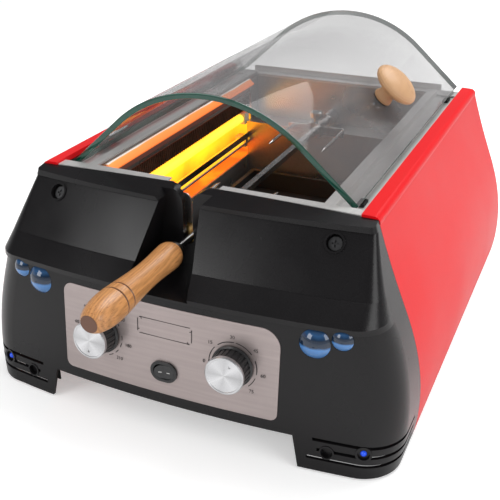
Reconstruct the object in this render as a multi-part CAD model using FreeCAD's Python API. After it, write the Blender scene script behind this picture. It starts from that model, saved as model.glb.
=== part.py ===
import FreeCAD, Part
import math
import os

# Table-top rotisserie oven. Lengths in millimetres.
# Body axes: X to the right, Y to the back, Z up, z = 0 on the table.
# Everything is modelled about the front bottom corner plane (y = 0) and is
# moved at export so that the origin is the bottom centre of the whole oven.

V = FreeCAD.Vector
OUT = "parts"
os.makedirs(OUT, exist_ok=True)

# ---------------------------------------------------------------- main sizes
REAR_Y = 432.0            # rear edge of the side panels at the table
REAR_LEAN = 17.0          # how far the rear leans forward over the full height
TOP_Z = 194.2             # top of the steel deck and of the front moulding
PANEL_T = 2.5             # side panel wall
MOULD_T = 2.8             # front moulding wall
SHEET = 1.2               # steel sheet
GAP = 0.4                 # seam between neighbouring body pieces
BOTTOM_Z = 2.0            # bottom edge of the body above the table
BASE_Z = 8.0              # underside of the base plate, on the rubber feet
BOW_R = 1250.0            # plan radius of the bowed front

# half width of the body at heights above the table
SIDE_PROFILE = [(2.0, 190.2), (44.0, 192.6), (68.0, 190.2), (105.0, 181.2),
                (128.0, 172.8), (151.0, 164.3), (174.0, 156.6), (189.0, 152.0)]
PANEL_TOP_Z = 195.9       # top of the side panels
PANEL_INNER_X = 137.3     # inner edge of the side panels' top

# spit and its drive
SPIT_X = -7.0
SPIT_Z = 150.0
SHAFT_R = 3.0             # round front part of the spit
SQUARE = 6.0              # square rear part of the spit
RUN_FIT = 0.06            # radial clearance of a running fit
SLIDE_FIT = 0.35          # clearance of loose sliding pieces
HANDLE_END_Y = -106.0
HANDLE_REAR_Y = 14.0
SPIT_REAR_Y = 396.0
SOCKET_Y = 380.0          # mouth of the drive socket
SPIT_PULL = 20.0          # how far the spit draws forward out of its socket

# chamber
FRAME_X = 104.0           # inner faces of the top frame's long bars
FRAME_BAR = 9.0
CHAMBER_Y0 = 53.0
CHAMBER_Y1 = 400.0
STEP_Z = 139.5            # rear step of the chamber
STEP_Y = 370.0
TUB_Z = 60.0
DECK_Z = 189.3            # rear deck behind the chamber

# glass lid: an arc of radius LID_R between flanks at 42 degrees
LID_R = 125.0
LID_CZ = 142.7
LID_ANG = 42.0
LID_HALF = 130.0
LID_T = 5.0
LID_Y0 = 62.0
LID_Y1 = 424.0
HINGE_X = -133.6
HINGE_Z = 195.5
HINGE_PIN_R = 1.5
HINGE_Y = (118.0, 362.0)

# controls
KNOB_X = 60.0
KNOB_Z = 80.0
KNOB_R = 16.0
FACE_LEAN = 0.10          # lean of the lower front face (dy / dz)
FACE_Y0 = -28.8           # lower front face at z = 0 on the centre line
PLATE = (-98.0, 98.0, 39.0, 117.4)   # control plate x0, x1, z0, z1
PLATE_T = 1.2
PLATE_PROUD = 0.4

Y_MID = (HANDLE_END_Y + REAR_Y) / 2.0


# ------------------------------------------------------------------- helpers
def save(name, shape):
    """Moves a finished piece into the oven's frame and writes it."""
    piece = shape.copy()
    piece.translate(V(0, -Y_MID, 0))
    if len(piece.Solids) == 1:
        piece = piece.Solids[0]
    else:
        piece = Part.makeCompound(piece.Solids)
    if not piece.isValid():
        piece.fix(0.01, 0.01, 0.01)
    piece.exportStep(os.path.join(OUT, name + ".step"))
    print(name, len(piece.Solids), piece.isValid(), round(piece.Volume / 1000.0, 2))


def box(x0, x1, y0, y1, z0, z1):
    return Part.makeBox(x1 - x0, y1 - y0, z1 - z0, V(x0, y0, z0))


def cyl(p, d, r, h):
    return Part.makeCylinder(r, h, V(*p), V(*d))


def tube(p, d, r_out, r_in, h):
    return cyl(p, d, r_out, h).cut(cyl(p, d, r_in, h))


def prism_xz(points, y0, y1):
    """Solid with a straight-sided outline in X and Z, from y0 to y1."""
    pts = [V(x, y0, z) for x, z in points]
    face = Part.Face(Part.makePolygon(pts + [pts[0]]))
    return face.extrude(V(0, y1 - y0, 0))


def prism_yz(points, x0, x1):
    pts = [V(x0, y, z) for y, z in points]
    face = Part.Face(Part.makePolygon(pts + [pts[0]]))
    return face.extrude(V(x1 - x0, 0, 0))


def turned(profile, base, axis):
    """Solid of revolution: profile holds (height, radius) along the axis."""
    pts = [V(r, 0, h) for h, r in profile]
    pts = [V(0, 0, profile[0][0])] + pts + [V(0, 0, profile[-1][0])]
    clean = [pts[0]]
    for p in pts[1:]:
        if p.distanceToPoint(clean[-1]) > 1e-6:
            clean.append(p)
    face = Part.Face(Part.makePolygon(clean + [clean[0]]))
    solid = face.revolve(V(0, 0, 0), V(0, 0, 1), 360)
    solid.Placement = FreeCAD.Placement(V(*base), FreeCAD.Rotation(V(0, 0, 1), V(*axis)))
    return solid


def fuse(*shapes):
    flat = []
    for s in shapes:
        flat += s if isinstance(s, list) else [s]
    out = flat[0]
    if len(flat) > 1:
        out = flat[0].fuse(flat[1:])
    return out.removeSplitter()


def mirrored(shape):
    return shape.mirror(V(0, 0, 0), V(1, 0, 0))


def side_spline(offset, z_from=None):
    """Side outline moved inward by offset: list of (x, z), bottom to top."""
    out = []
    n = len(SIDE_PROFILE)
    for i, (z, x) in enumerate(SIDE_PROFILE):
        a = SIDE_PROFILE[max(i - 1, 0)]
        b = SIDE_PROFILE[min(i + 1, n - 1)]
        tx, tz = b[1] - a[1], b[0] - a[0]
        length = math.hypot(tx, tz)
        out.append((x - offset * tz / length, z + offset * tx / length))
    return out


def half_width(z, offset=0.0):
    """Half width of the body at height z, from a smooth curve."""
    curve = Part.BSplineCurve()
    curve.interpolate([V(x, 0, q) for x, q in side_spline(offset)])
    pts = curve.discretize(400)
    if z <= pts[0].z:
        return pts[0].x
    for a, b in zip(pts, pts[1:]):
        if a.z <= z <= b.z:
            t = (z - a.z) / (b.z - a.z)
            return a.x + t * (b.x - a.x)
    a, b = pts[-2], pts[-1]
    return b.x + (z - b.z) * (b.x - a.x) / (b.z - a.z)


def seam_y(z):
    """Rear edge of the front moulding at its sides."""
    return 57.0 - 0.06 * z


def rear_y(z):
    return REAR_Y - REAR_LEAN * z / TOP_Z


# ------------------------------------------------------------ front moulding
def section(z, half, front, corner, side, mid):
    """Plan outline at height z: bowed front, round corners, open rear arc."""
    yc = front + BOW_R - math.sqrt((BOW_R - corner) ** 2 - (half - corner) ** 2)
    cx = half - corner
    k = BOW_R / (BOW_R - corner)
    tx = cx * k
    ty = (front + BOW_R) + (yc - (front + BOW_R)) * k
    mid_dir = V(half - cx, 0, 0) + V(tx - cx, ty - yc, 0)
    mid_dir.normalize()
    mx, my = cx + mid_dir.x * corner, yc + mid_dir.y * corner
    p_rl, p_rr = V(-half, side, z), V(half, side, z)
    edges = [
        Part.LineSegment(p_rl, V(-half, yc, z)).toShape(),
        Part.Arc(V(-half, yc, z), V(-mx, my, z), V(-tx, ty, z)).toShape(),
        Part.Arc(V(-tx, ty, z), V(0, front, z), V(tx, ty, z)).toShape(),
        Part.Arc(V(tx, ty, z), V(mx, my, z), V(half, yc, z)).toShape(),
        Part.LineSegment(V(half, yc, z), p_rr).toShape(),
        Part.Arc(p_rr, V(0, mid, z), p_rl).toShape(),
    ]
    return Part.Wire(edges)


def rear_mid_y(z):
    return seam_y(z) + 0.8 + 4.0 * z / TOP_Z


def stack(levels, inset, deep, ruled=False):
    """Loft through levels of (z, front y, corner radius)."""
    wires = []
    for z, front, corner in levels:
        side = 140.0 if deep else seam_y(z)
        mid = 141.0 if deep else rear_mid_y(z)
        wires.append(section(z, half_width(z) - inset, front + inset,
                             max(corner - inset, 1.5), side, mid))
    return Part.makeLoft(wires, True, ruled)


LEDGE_OUT_Z, LEDGE_IN_Z = 129.2, 144.4


def face_y(z):
    """Lower front face on the centre line."""
    return FACE_Y0 + FACE_LEAN * z


def under_top(drop):
    """Everything above the top band, which slopes gently up to the deck."""
    return prism_yz([(-60.0, 175.3 - drop), (27.0, 190.2 - drop), (50.0, TOP_Z - drop),
                     (200.0, TOP_Z - drop), (200.0, 260.0), (-60.0, 260.0)], -260.0, 260.0)


def moulding_lofts(inset):
    """Lower face, ledge and upper face as three lofts, bottom to top."""
    deep = inset > 0
    lower = stack([(z, face_y(z), 34.0) for z in (2.0, 34.0, 64.0, 94.0)]
                  + [(124.4, face_y(124.4), 30.0)], inset, deep)
    ledge = stack([(127.0 if deep else 124.4, -18.9, 27.0), (LEDGE_OUT_Z, -19.6, 26.0),
                   (LEDGE_IN_Z, -5.0, 17.0)], inset, deep, ruled=True)
    levels = [(LEDGE_IN_Z, -4.0, 15.0), (166.0, 11.4, 9.0), (187.0, 26.6, 5.0)]
    if deep:
        levels.append((200.0, 36.0, 4.0))
    return [lower, ledge, stack(levels, inset, deep)]


def moulding_body():
    band = stack([(186.6, 24.8, 5.0), (TOP_Z + 1.0, 26.0, 5.0)], 0.0, False, ruled=True)
    body = moulding_lofts(0.0)
    solid = body[0].fuse(body[1]).fuse(body[2]).fuse(band)
    return solid.cut(under_top(0.0))


# channel for the spit and its handle, centred on the spit
CH_TOP, CH_LOW = 18.5, 29.0
CH_BACK_Y = 40.0
CH_FLOOR_Z = 126.4


def channel_outline(grow):
    return [(SPIT_X - CH_LOW - grow, CH_FLOOR_Z - grow), (SPIT_X + CH_LOW + grow, CH_FLOOR_Z - grow),
            (SPIT_X + CH_TOP + grow, 187.0), (SPIT_X + CH_TOP + 7.0 + grow, 195.0),
            (SPIT_X + CH_TOP + 7.0 + grow, 215.0), (SPIT_X - CH_TOP - 7.0 - grow, 215.0),
            (SPIT_X - CH_TOP - 7.0 - grow, 195.0), (SPIT_X - CH_TOP - grow, 187.0)]


def slot_cutter(half, lobe_r, lobe_z, y0, y1):
    """Keyhole for the spit: round bottom, straight sides, round lobes on top."""
    lower = cyl((SPIT_X, y0, SPIT_Z), (0, 1, 0), half, y1 - y0)
    neck = box(SPIT_X - half, SPIT_X + half, y0, y1, SPIT_Z, 230.0)
    mouth = box(SPIT_X - half - lobe_r, SPIT_X + half + lobe_r, y0, y1, lobe_z - lobe_r, 230.0)
    for s in (-1, 1):
        mouth = mouth.cut(cyl((SPIT_X + s * (half + lobe_r), y0, lobe_z - lobe_r), (0, 1, 0),
                              lobe_r, y1 - y0))
    return fuse(lower, neck, mouth)


def front_point(x, z, y_mid):
    """Point and outward normal on the bowed front at (x, z)."""
    y = y_mid + BOW_R - math.sqrt(BOW_R ** 2 - x * x)
    nx = x / BOW_R
    n = V(nx, -math.sqrt(1 - nx * nx), FACE_LEAN)
    n.normalize()
    return V(x, y, z), n


def bowed_slab(y_front, y_back, x0, x1, z0, z1):
    """Curved slab parallel to the lower front face, between two offsets."""
    def edge(off):
        return (face_y(z0) + off, face_y(z1) + off)
    f, b = edge(y_front), edge(y_back)
    pts = [V(0, f[0], z0), V(0, b[0], z0), V(0, b[1], z1), V(0, f[1], z1)]
    axis_y = FACE_Y0 + BOW_R
    face = Part.Face(Part.makePolygon(pts + [pts[0]]))
    a0 = math.degrees(math.asin(x0 / BOW_R))
    a1 = math.degrees(math.asin(x1 / BOW_R))
    face.rotate(V(0, axis_y, 0), V(0, 0, 1), a0)
    return face.revolve(V(0, axis_y, 0), V(0, 0, 1), a1 - a0)


def plate_outline(grow):
    """Rounded outline of the control plate, as a prism along Y."""
    x0, x1, z0, z1 = PLATE
    x0, x1, z0, z1 = x0 - grow, x1 + grow, z0 - grow, z1 + grow
    radii = [6.0 + grow, 6.0 + grow, 16.0 + grow, 9.0 + grow]     # BL, BR, TR, TL
    c = [V(x0 + radii[0], 0, z0 + radii[0]), V(x1 - radii[1], 0, z0 + radii[1]),
         V(x1 - radii[2], 0, z1 - radii[2]), V(x0 + radii[3], 0, z1 - radii[3])]
    q = math.sqrt(0.5)
    arcs = []
    dirs = [((-1, 0), (-q, -q), (0, -1)), ((0, -1), (q, -q), (1, 0)),
            ((1, 0), (q, q), (0, 1)), ((0, 1), (-q, q), (-1, 0))]
    for centre, r, (a, m, b) in zip(c, radii, dirs):
        arcs.append(Part.Arc(centre + V(a[0], 0, a[1]) * r, centre + V(m[0], 0, m[1]) * r,
                             centre + V(b[0], 0, b[1]) * r))
    edges = []
    for i, arc in enumerate(arcs):
        edges.append(arc.toShape())
        nxt = arcs[(i + 1) % 4]
        edges.append(Part.LineSegment(arc.EndPoint, nxt.StartPoint).toShape())
    face = Part.Face(Part.Wire(edges))
    face.translate(V(0, -60, 0))
    return face.extrude(V(0, 80, 0))


KNOB_AXIS = V(0, -1, FACE_LEAN)
KNOB_AXIS.normalize()


def on_face(x, z, lift):
    """Point above the control plate's face, measured along the knob axis."""
    p, _ = front_point(x, z, face_y(z))
    return p + KNOB_AXIS * lift


def spot(p, n, back, r, h):
    """Cylinder on the axis n through p, starting `back` behind p."""
    return Part.makeCylinder(r, h, p - n * back, n)


LENSES = {"large": (124.0, 112.0, 12.0), "small": (144.4, 118.0, 8.2)}
LENS_SINK = 2.2
SCREW_X, SCREW_Z = 123.8, 178.0
VENT_ROWS = (12.0, 20.0, 28.6)
LED_X, LED_Z = 161.0, 24.6
BUBBLE_X, BUBBLE_Z = 139.0, 20.0


def recess_point(x, z):
    y_mid = -4.0 + (z - LEDGE_IN_Z) * (30.6 / 42.6)
    p, _ = front_point(x, z, y_mid)
    n = V(x / BOW_R, -1.0, 30.6 / 42.6)
    n.normalize()
    return p, n


def led_axis(s):
    """Point and normal of the small light in the corner vents."""
    half, corner = half_width(LED_Z), 34.0
    cx = half - corner
    front = face_y(LED_Z)
    yc = front + BOW_R - math.sqrt((BOW_R - corner) ** 2 - cx ** 2)
    ang = math.radians(15.0)
    n = V(s * math.sin(ang), -math.cos(ang), FACE_LEAN)
    p = V(s * (cx + corner * math.sin(ang)), yc - corner * math.cos(ang), LED_Z)
    n.normalize()
    return p, n


def make_moulding():
    body = moulding_body()
    shell = body
    hollow = moulding_lofts(MOULD_T)
    hollow[2] = hollow[2].cut(under_top(MOULD_T))
    for void in hollow:
        shell = shell.cut(void)
    # channel walls, kept solid, and its rear wall with the keyhole
    shell = shell.fuse(prism_xz(channel_outline(3.0), -40.0, 47.0).common(body))
    shell = shell.cut(prism_xz(channel_outline(0.0), -60.0, CH_BACK_Y))
    shell = shell.cut(slot_cutter(SHAFT_R + 1.5, 14.0, TOP_Z, CH_BACK_Y - 1, 60.0))
    # raised bottom edge between the feet
    shell = shell.cut(prism_xz([(-118, -5), (118, -5), (111, 29.5), (-111, 29.5)], -80, 80))
    # seat of the control plate
    seat = bowed_slab(-20.0, PLATE_T - PLATE_PROUD, -105, 105, 30.0, 121.0)
    shell = shell.cut(seat.common(plate_outline(0.3)))
    for s in (-1, 1):
        # vents that wrap round the lower corners
        for x0, z in zip((123.0, 131.0, 127.0), VENT_ROWS):
            a, b = sorted((s * x0, s * 230.0))
            shell = shell.cut(box(a, b, -60.0, 40.0, z, z + 2.8))
        steps = []
        for add in (True, False):
            for x, z, r in LENSES.values():
                p, n = front_point(s * x, z, face_y(z))
                tool = spot(p, n, LENS_SINK + 3.0, r + 2.0, 4.0) if add else \
                    spot(p, n, LENS_SINK, r + 0.25, 20.0)
                steps.append((tool, add))
        p, n = recess_point(s * SCREW_X, SCREW_Z)
        steps.append((spot(p, n, 9.0, 9.0, 7.5), True))
        steps.append((tube(tuple(p - n * 2.0), tuple(n), 8.2, 6.6, 3.2), True))
        steps.append((spot(p, n, 5.0, 6.6, 20.0), False))
        steps.append((spot(p, n, 12.0, 2.1, 10.0), False))
        p, n = led_axis(s)
        steps.append((spot(p, n, 6.0, 6.6, 6.6), True))
        steps.append((spot(p, n, 1.6, 4.9, 20.0), False))
        steps.append((spot(p, n, 4.2, 2.6, 20.0), False))
        p, n = front_point(s * BUBBLE_X, BUBBLE_Z, face_y(BUBBLE_Z))
        steps.append((spot(p, n, 6.0, 6.0, 6.6), True))
        steps.append((spot(p, n, 3.4, 4.8, 20.0), False))
        p, n = knob_axis(s)
        steps.append((spot(p, n, 12.0, 5.5, 20.0), False))
        for tool, add in steps:
            shell = shell.fuse(tool) if add else shell.cut(tool)
    return shell.cut(stadium(11.0, 8.1, -12.0, 8.0))


# ------------------------------------------------------------------ controls
def knob_axis(s):
    return front_point(s * KNOB_X, KNOB_Z, face_y(KNOB_Z))


SWITCH_Z = 60.0


def local(shape, p, n):
    """Places a shape built on +Z so that +Z lies on n and X stays level."""
    up = V(0, 0, 1) - n * n.z
    up.normalize()
    right = up.cross(n)
    rot = FreeCAD.Rotation(right, up, n, "ZXY")
    shape.Placement = FreeCAD.Placement(p, rot).multiply(shape.Placement)
    return shape


def stadium(half, r, lift0, lift1):
    """Round-ended prism at the switch, from lift0 to lift1 above the face."""
    c = half - r
    body = fuse(Part.makeCylinder(r, lift1 - lift0, V(-c, 0, lift0)),
                Part.makeCylinder(r, lift1 - lift0, V(c, 0, lift0)),
                Part.makeBox(2 * c, 2 * r, lift1 - lift0, V(-c, -r, lift0)))
    p, n = front_point(0.0, SWITCH_Z, face_y(SWITCH_Z))
    return local(body, p, n)


def make_plate():
    slab = bowed_slab(-PLATE_PROUD, PLATE_T - PLATE_PROUD - 0.2, -105, 105, 30.0, 121.0)
    plate = slab.common(plate_outline(0.0))
    for s in (-1, 1):
        p, n = knob_axis(s)
        plate = plate.cut(spot(p, n, 8.0, 4.6, 20.0))
    return plate.cut(stadium(11.0, 8.1, -8.0, 8.0))


KNOB_PROFILE = [(1.2, KNOB_R + 1.4), (2.6, KNOB_R + 1.4), (3.4, KNOB_R), (15.6, KNOB_R - 0.4)]
CAP_PROFILE = [(15.6, KNOB_R), (17.9, KNOB_R), (18.6, KNOB_R - 0.8), (18.6, KNOB_R - 1.8),
               (18.2, KNOB_R - 2.2)]
KNOB_BORE_H = 12.0


def make_knob(s):
    knob = turned(KNOB_PROFILE, (0, 0, 0), (0, 0, 1))
    flutes = [Part.makeCylinder(0.9, 13.0, V(KNOB_R * math.cos(a), KNOB_R * math.sin(a), 3.6))
              for a in [math.radians(15.0 * i) for i in range(24)]]
    knob = knob.cut(flutes).cut(Part.makeCylinder(3.05, KNOB_BORE_H, V(0, 0, 0)))
    cap = turned(CAP_PROFILE, (0, 0, 0), (0, 0, 1))
    mark = math.radians(-90.0 if s < 0 else 60.0)
    cap = cap.cut(Part.makeCylinder(1.3, 2.0, V(9.6 * math.cos(mark), 9.6 * math.sin(mark), 17.5)))
    shaft = Part.makeCylinder(3.0, 18.0 + KNOB_BORE_H, V(0, 0, -18.0))
    p, n = knob_axis(s)
    return [local(x, p, n) for x in (knob, cap, shaft)]


def make_control(s, r, depth):
    """Thermostat or timer behind the face, with the bush of its shaft."""
    body = turned([(-6.0 - depth, r), (-6.0, r), (-6.0, 9.0), (-3.4, 9.0)], (0, 0, 0), (0, 0, 1))
    body = body.cut(Part.makeCylinder(3.0 + RUN_FIT, 17.0, V(0, 0, -19.0)))
    p, n = knob_axis(s)
    return local(body, p, n)


ROCKER_TILT = 8.0
ROCKER_PIVOT = -3.0


def make_switch():
    body = fuse(stadium(12.0, 9.0, 0.4, 2.2), stadium(10.6, 7.7, -24.0, 0.4))
    body = body.cut(stadium(9.3, 6.5, -7.0, 6.0))
    pts = [(-8.5, -1.5), (0.0, -4.5), (8.5, -1.5), (8.5, 2.9), (0.0, 1.6), (-8.5, 2.9)]
    blade = Part.Face(Part.makePolygon([V(x, -5.9, h) for x, h in pts + pts[:1]]))
    blade = blade.extrude(V(0, 11.8, 0))
    ends = fuse(Part.makeCylinder(5.9, 12.0, V(-2.6, 0, -6)), Part.makeCylinder(5.9, 12.0, V(2.6, 0, -6)),
                Part.makeBox(5.2, 11.8, 12.0, V(-2.6, -5.9, -6)))
    rocker = blade.common(ends)
    rocker.rotate(V(0, 0, ROCKER_PIVOT), V(0, 1, 0), ROCKER_TILT)
    p, n = front_point(0.0, SWITCH_Z, face_y(SWITCH_Z))
    return body, local(rocker, p, n)


def dome(p, n, r, height, sink):
    """Glossy cap: part of a ball on a short round base."""
    ball_r = (r * r + height * height) / (2.0 * height)
    cap = Part.makeSphere(ball_r, V(0, 0, height - ball_r))
    cap = cap.common(Part.makeCylinder(r, 2 * height, V(0, 0, -0.2)))
    body = fuse(Part.makeCylinder(r, sink, V(0, 0, -sink)), cap)
    return local(body, p, n)


def make_lenses(kind, height):
    x, z, r = LENSES[kind]
    caps = []
    for s in (-1, 1):
        p, n = front_point(s * x, z, face_y(z))
        caps.append(dome(p, n, r, height, LENS_SINK - 0.1))
    return Part.makeCompound(caps)


def make_lights():
    caps = []
    for s in (-1, 1):
        p, n = led_axis(s)
        caps.append(dome(p - n * 1.2, n, 2.45, 1.6, 3.0))
    return Part.makeCompound(caps)


def make_front_screws():
    out = []
    for s in (-1, 1):
        p, n = recess_point(s * SCREW_X, SCREW_Z)
        head = Part.makeCylinder(5.4, 2.2, V(0, 0, -5.0))
        for w, h in ((5.6, 1.2), (1.2, 5.6)):
            head = head.cut(Part.makeBox(w, h, 1.4, V(-w / 2, -h / 2, -4.2)))
        out.append(local(fuse(head, Part.makeCylinder(2.0, 9.0, V(0, 0, -14.0))), p, n))
    return Part.makeCompound(out)


# -------------------------------------------------------------------- casing
def make_side_panel():
    outer = [V(x, 0, z) for x, z in side_spline(0.0)]
    inner = [V(x, 0, z) for x, z in side_spline(PANEL_T)]
    so, si = Part.BSplineCurve(), Part.BSplineCurve()
    so.interpolate(outer)
    si.interpolate(inner)
    a, b = outer[-1], inner[-1]
    top = PANEL_TOP_Z
    edges = [so.toShape(),
             Part.Arc(a, V(150.5, 0, top - 1.9), V(146.4, 0, top - 0.3)).toShape()]
    pts = [V(146.4, 0, top - 0.3), V(PANEL_INNER_X, 0, top), V(PANEL_INNER_X, 0, top - 6.0),
           V(PANEL_INNER_X + PANEL_T, 0, top - 6.0), V(PANEL_INNER_X + PANEL_T, 0, top - PANEL_T),
           V(145.6, 0, top - 2.8)]
    edges += [Part.LineSegment(p, q).toShape() for p, q in zip(pts, pts[1:])]
    edges += [Part.Arc(pts[-1], V(148.4, 0, top - 4.2), b).toShape(), si.toShape(),
              Part.LineSegment(inner[0], outer[0]).toShape()]
    face = Part.Face(Part.Wire(Part.__sortEdges__(edges)))
    panel = face.extrude(V(0, 470, 0))
    panel = panel.cut(prism_yz([(-50, -20), (seam_y(-20) + GAP, -20), (seam_y(260) + GAP, 260),
                                (-50, 260)], -10, 260))
    # the lip under the top skin stays clear of the moulding's rear edge
    panel = panel.cut(box(130.0, 145.5, -50.0, seam_y(TOP_Z) + 1.8, 188.0, 193.5))
    return panel.cut(prism_yz([(520, -20), (rear_y(-20), -20), (rear_y(260), 260), (520, 260)],
                              -10, 260))


REAR_INSET, REAR_T = 1.0, 2.4
GUTTER_Z = 186.0           # underside of the gutters beside the chamber
INLET_X, INLET_Z = 118.0, 42.0


def rear_slab(out0, out1, x0, x1, z0, z1):
    """Slab parallel to the rear face; offsets count outward from it."""
    return prism_yz([(rear_y(z0) + out0, z0), (rear_y(z0) + out1, z0),
                     (rear_y(z1) + out1, z1), (rear_y(z1) + out0, z1)], x0, x1)


def make_rear_panel():
    pts = side_spline(PANEL_T + 0.5)
    ring = [V(x, 0, z) for x, z in pts] + [V(-x, 0, z) for x, z in reversed(pts)]
    ring = [V(p.x, 330, max(p.z, 2.6)) for p in ring]
    outline = Part.Face(Part.makePolygon(ring + [ring[0]])).extrude(V(0, 140, 0))
    plate = rear_slab(-REAR_INSET - REAR_T, -REAR_INSET, -200, 200, -5.0, GUTTER_Z - 0.3).common(outline)
    plate = plate.cut(box(INLET_X - 14.2, INLET_X + 14.2, 380, 450, INLET_Z - 12.2, INLET_Z + 12.2))
    slots = []
    for i in range(15):
        x = -112.0 + 16.0 * i
        for z in (74.0, 130.0):
            slots.append(box(x - 2.5, x + 2.5, 380, 450, z - 16.0, z + 16.0))
    return plate.cut(slots)


def make_inlet():
    outer = -REAR_INSET
    flange = rear_slab(outer, outer + 1.6, INLET_X - 19, INLET_X + 19, INLET_Z - 16, INLET_Z + 16)
    body = rear_slab(-26.0, outer, INLET_X - 13.8, INLET_X + 13.8, INLET_Z - 11.8, INLET_Z + 11.8)
    body = fuse(flange, body)
    body = body.cut(rear_slab(-17.0, 9.0, INLET_X - 11.5, INLET_X + 11.5, INLET_Z - 8.5, INLET_Z + 8.5))
    pins = [rear_slab(-19.0, -5.0, INLET_X + dx - 1.0, INLET_X + dx + 1.0,
                      INLET_Z + dz - 2.2, INLET_Z + dz + 2.2)
            for dx, dz in ((-6.5, -2.0), (6.5, -2.0), (0.0, 3.4))]
    return fuse(body, pins)


def make_base():
    half = 187.4
    plate = box(-half, half, seam_y(BASE_Z) + 0.5, rear_y(BASE_Z) - REAR_INSET - REAR_T - 0.5,
                BASE_Z, BASE_Z + SHEET)
    slots = [box(-70 + 35 * i - 3, -70 + 35 * i + 3, y - 30, y + 30, 0, 20)
             for i in range(5) for y in (160.0, 300.0)]
    return plate.cut(slots)


def make_feet():
    feet = [turned([(0.0, 9.0), (1.5, 10.0), (BASE_Z, 11.0)], (x, y, 0.0), (0, 0, 1))
            for x in (-150.0, 150.0) for y in (84.0, 396.0)]
    return Part.makeCompound(feet)


def make_top_frame():
    z1, z0 = TOP_Z, TOP_Z - SHEET
    bar_x1 = FRAME_X + FRAME_BAR
    gut_z = GUTTER_Z
    edge_x = PANEL_INNER_X - 0.5
    rear = 418.0
    parts = []
    for s in (1, -1):
        def b(x0, x1, y0, y1, za, zb):
            a0, a1 = sorted((s * x0, s * x1))
            parts.append(box(a0, a1, y0, y1, za, zb))
        b(FRAME_X, bar_x1, 54.2, CHAMBER_Y1 + 1.0, z0, z1)
        b(FRAME_X, FRAME_X + SHEET, 54.2, CHAMBER_Y1 + SHEET, gut_z, z0)
        b(bar_x1 - SHEET, bar_x1, 54.2, CHAMBER_Y1 + 1.0, gut_z, z0)
        b(bar_x1 - SHEET, edge_x, 53.0, rear, gut_z, gut_z + SHEET)
        b(FRAME_X, edge_x, 53.0, 54.2, gut_z, z0)
        if s > 0:
            b(edge_x - SHEET, edge_x, 53.0, rear, gut_z, 193.4)
    # front flange with a notch over the keyhole
    half = edge_x
    front = [Part.Arc(V(-half, 47.2, z0), V(0, 50.8, z0), V(half, 47.2, z0)).toShape()]
    loop = [V(half, 47.2, z0), V(half, 58.0, z0), V(-half, 58.0, z0), V(-half, 47.2, z0)]
    front += [Part.LineSegment(p, q).toShape() for p, q in zip(loop, loop[1:])]
    flange = Part.Face(Part.Wire(front)).extrude(V(0, 0, SHEET))
    parts.append(flange.cut(box(SPIT_X - 23.5, SPIT_X + 23.5, 40, 70, 180, 200)))
    # rear deck, its bead at the chamber and its upstand at the back
    deck = box(-edge_x, edge_x, CHAMBER_Y1, rear, DECK_Z - SHEET, DECK_Z)
    parts += [deck, box(-FRAME_X, FRAME_X, CHAMBER_Y1, CHAMBER_Y1 + 2.4, DECK_Z, DECK_Z + 1.6),
              box(-114.0, 114.0, rear - SHEET, rear, DECK_Z - SHEET, 196.0)]
    return fuse(*parts)


def steel_slot(y0, y1):
    notch = box(SPIT_X - 19.0, SPIT_X + 19.0, y0, y1, 184.5, 230.0)
    return fuse(notch, slot_cutter(SHAFT_R + 0.6, 6.0, 184.5, y0, y1))


WINDOW = (70.0, 380.0, 98.0, 172.0)     # y0, y1, z0, z1 of the heater window


def make_liner():
    x, t = FRAME_X, SHEET
    top = TOP_Z - SHEET
    y0, y1 = CHAMBER_Y0, CHAMBER_Y1
    front = box(-x, x, y0, y0 + t, TUB_Z, top).cut(steel_slot(y0 - 5, y0 + 5))
    parts = [front,
             box(x - t, x, y0, y1 + t, TUB_Z, top),
             box(-x, -x + t, y0, y1 + t, TUB_Z, top).cut(
                 box(-x - 5, -x + 5, WINDOW[0], WINDOW[1], WINDOW[2], WINDOW[3])),
             box(-x, x, y0, STEP_Y + t, TUB_Z, TUB_Z + t),
             box(-x, x, STEP_Y, STEP_Y + t, TUB_Z, STEP_Z),
             box(-x, x, STEP_Y - 1.5, y1 + t, STEP_Z, STEP_Z + t),
             box(-x, x, y1, y1 + t, STEP_Z, DECK_Z - SHEET)]
    liner = fuse(*parts)
    # the space behind the lower rear wall stays open
    liner = liner.cut(box(-x - 1, x + 1, STEP_Y + t, y1 + 5, TUB_Z - 1, STEP_Z))
    # ends of the long walls make room for the deck
    liner = liner.cut(box(-x - 1, x + 1, y1, y1 + 5, DECK_Z - SHEET, 200))
    return liner.cut(cyl((SPIT_X, y1 - 3, SPIT_Z), (0, 1, 0), 5.0, 8.0))


# -------------------------------------------------------------------- heater
def trough(cx, cz, ax, az, y0, y1, n=18):
    """Solid left half of a squarish oval, as used for the reflector."""
    pts = []
    for i in range(n + 1):
        a = math.pi / 2 + math.pi * i / n
        c, s = math.cos(a), math.sin(a)
        pts.append((cx - ax * math.sqrt(abs(c)), cz + az * math.copysign(math.sqrt(abs(s)), s)))
    return prism_xz(pts, y0, y1)


REFLECT_DEPTH = 23.0
TUBES = ((-112.0, 143.0), (-112.0, 114.0))
WIND_Z = (156.0, 170.6)


def make_reflector():
    y0, y1, z0, z1 = WINDOW
    cz, az = (z0 + z1) / 2, (z1 - z0) / 2 - 1.0
    x = -FRAME_X
    outer = trough(x, cz, REFLECT_DEPTH + 1.0, az + 1.0, y0, y1)
    shell = outer.cut(trough(x, cz, REFLECT_DEPTH, az, y0 + 1.0, y1 - 1.0))
    lips = [box(x - 1.0, x, y0, y1, cz + az, cz + az + 6.0),
            box(x - 1.0, x, y0, y1, cz - az - 6.0, cz - az)]
    return fuse(shell, lips)


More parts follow.
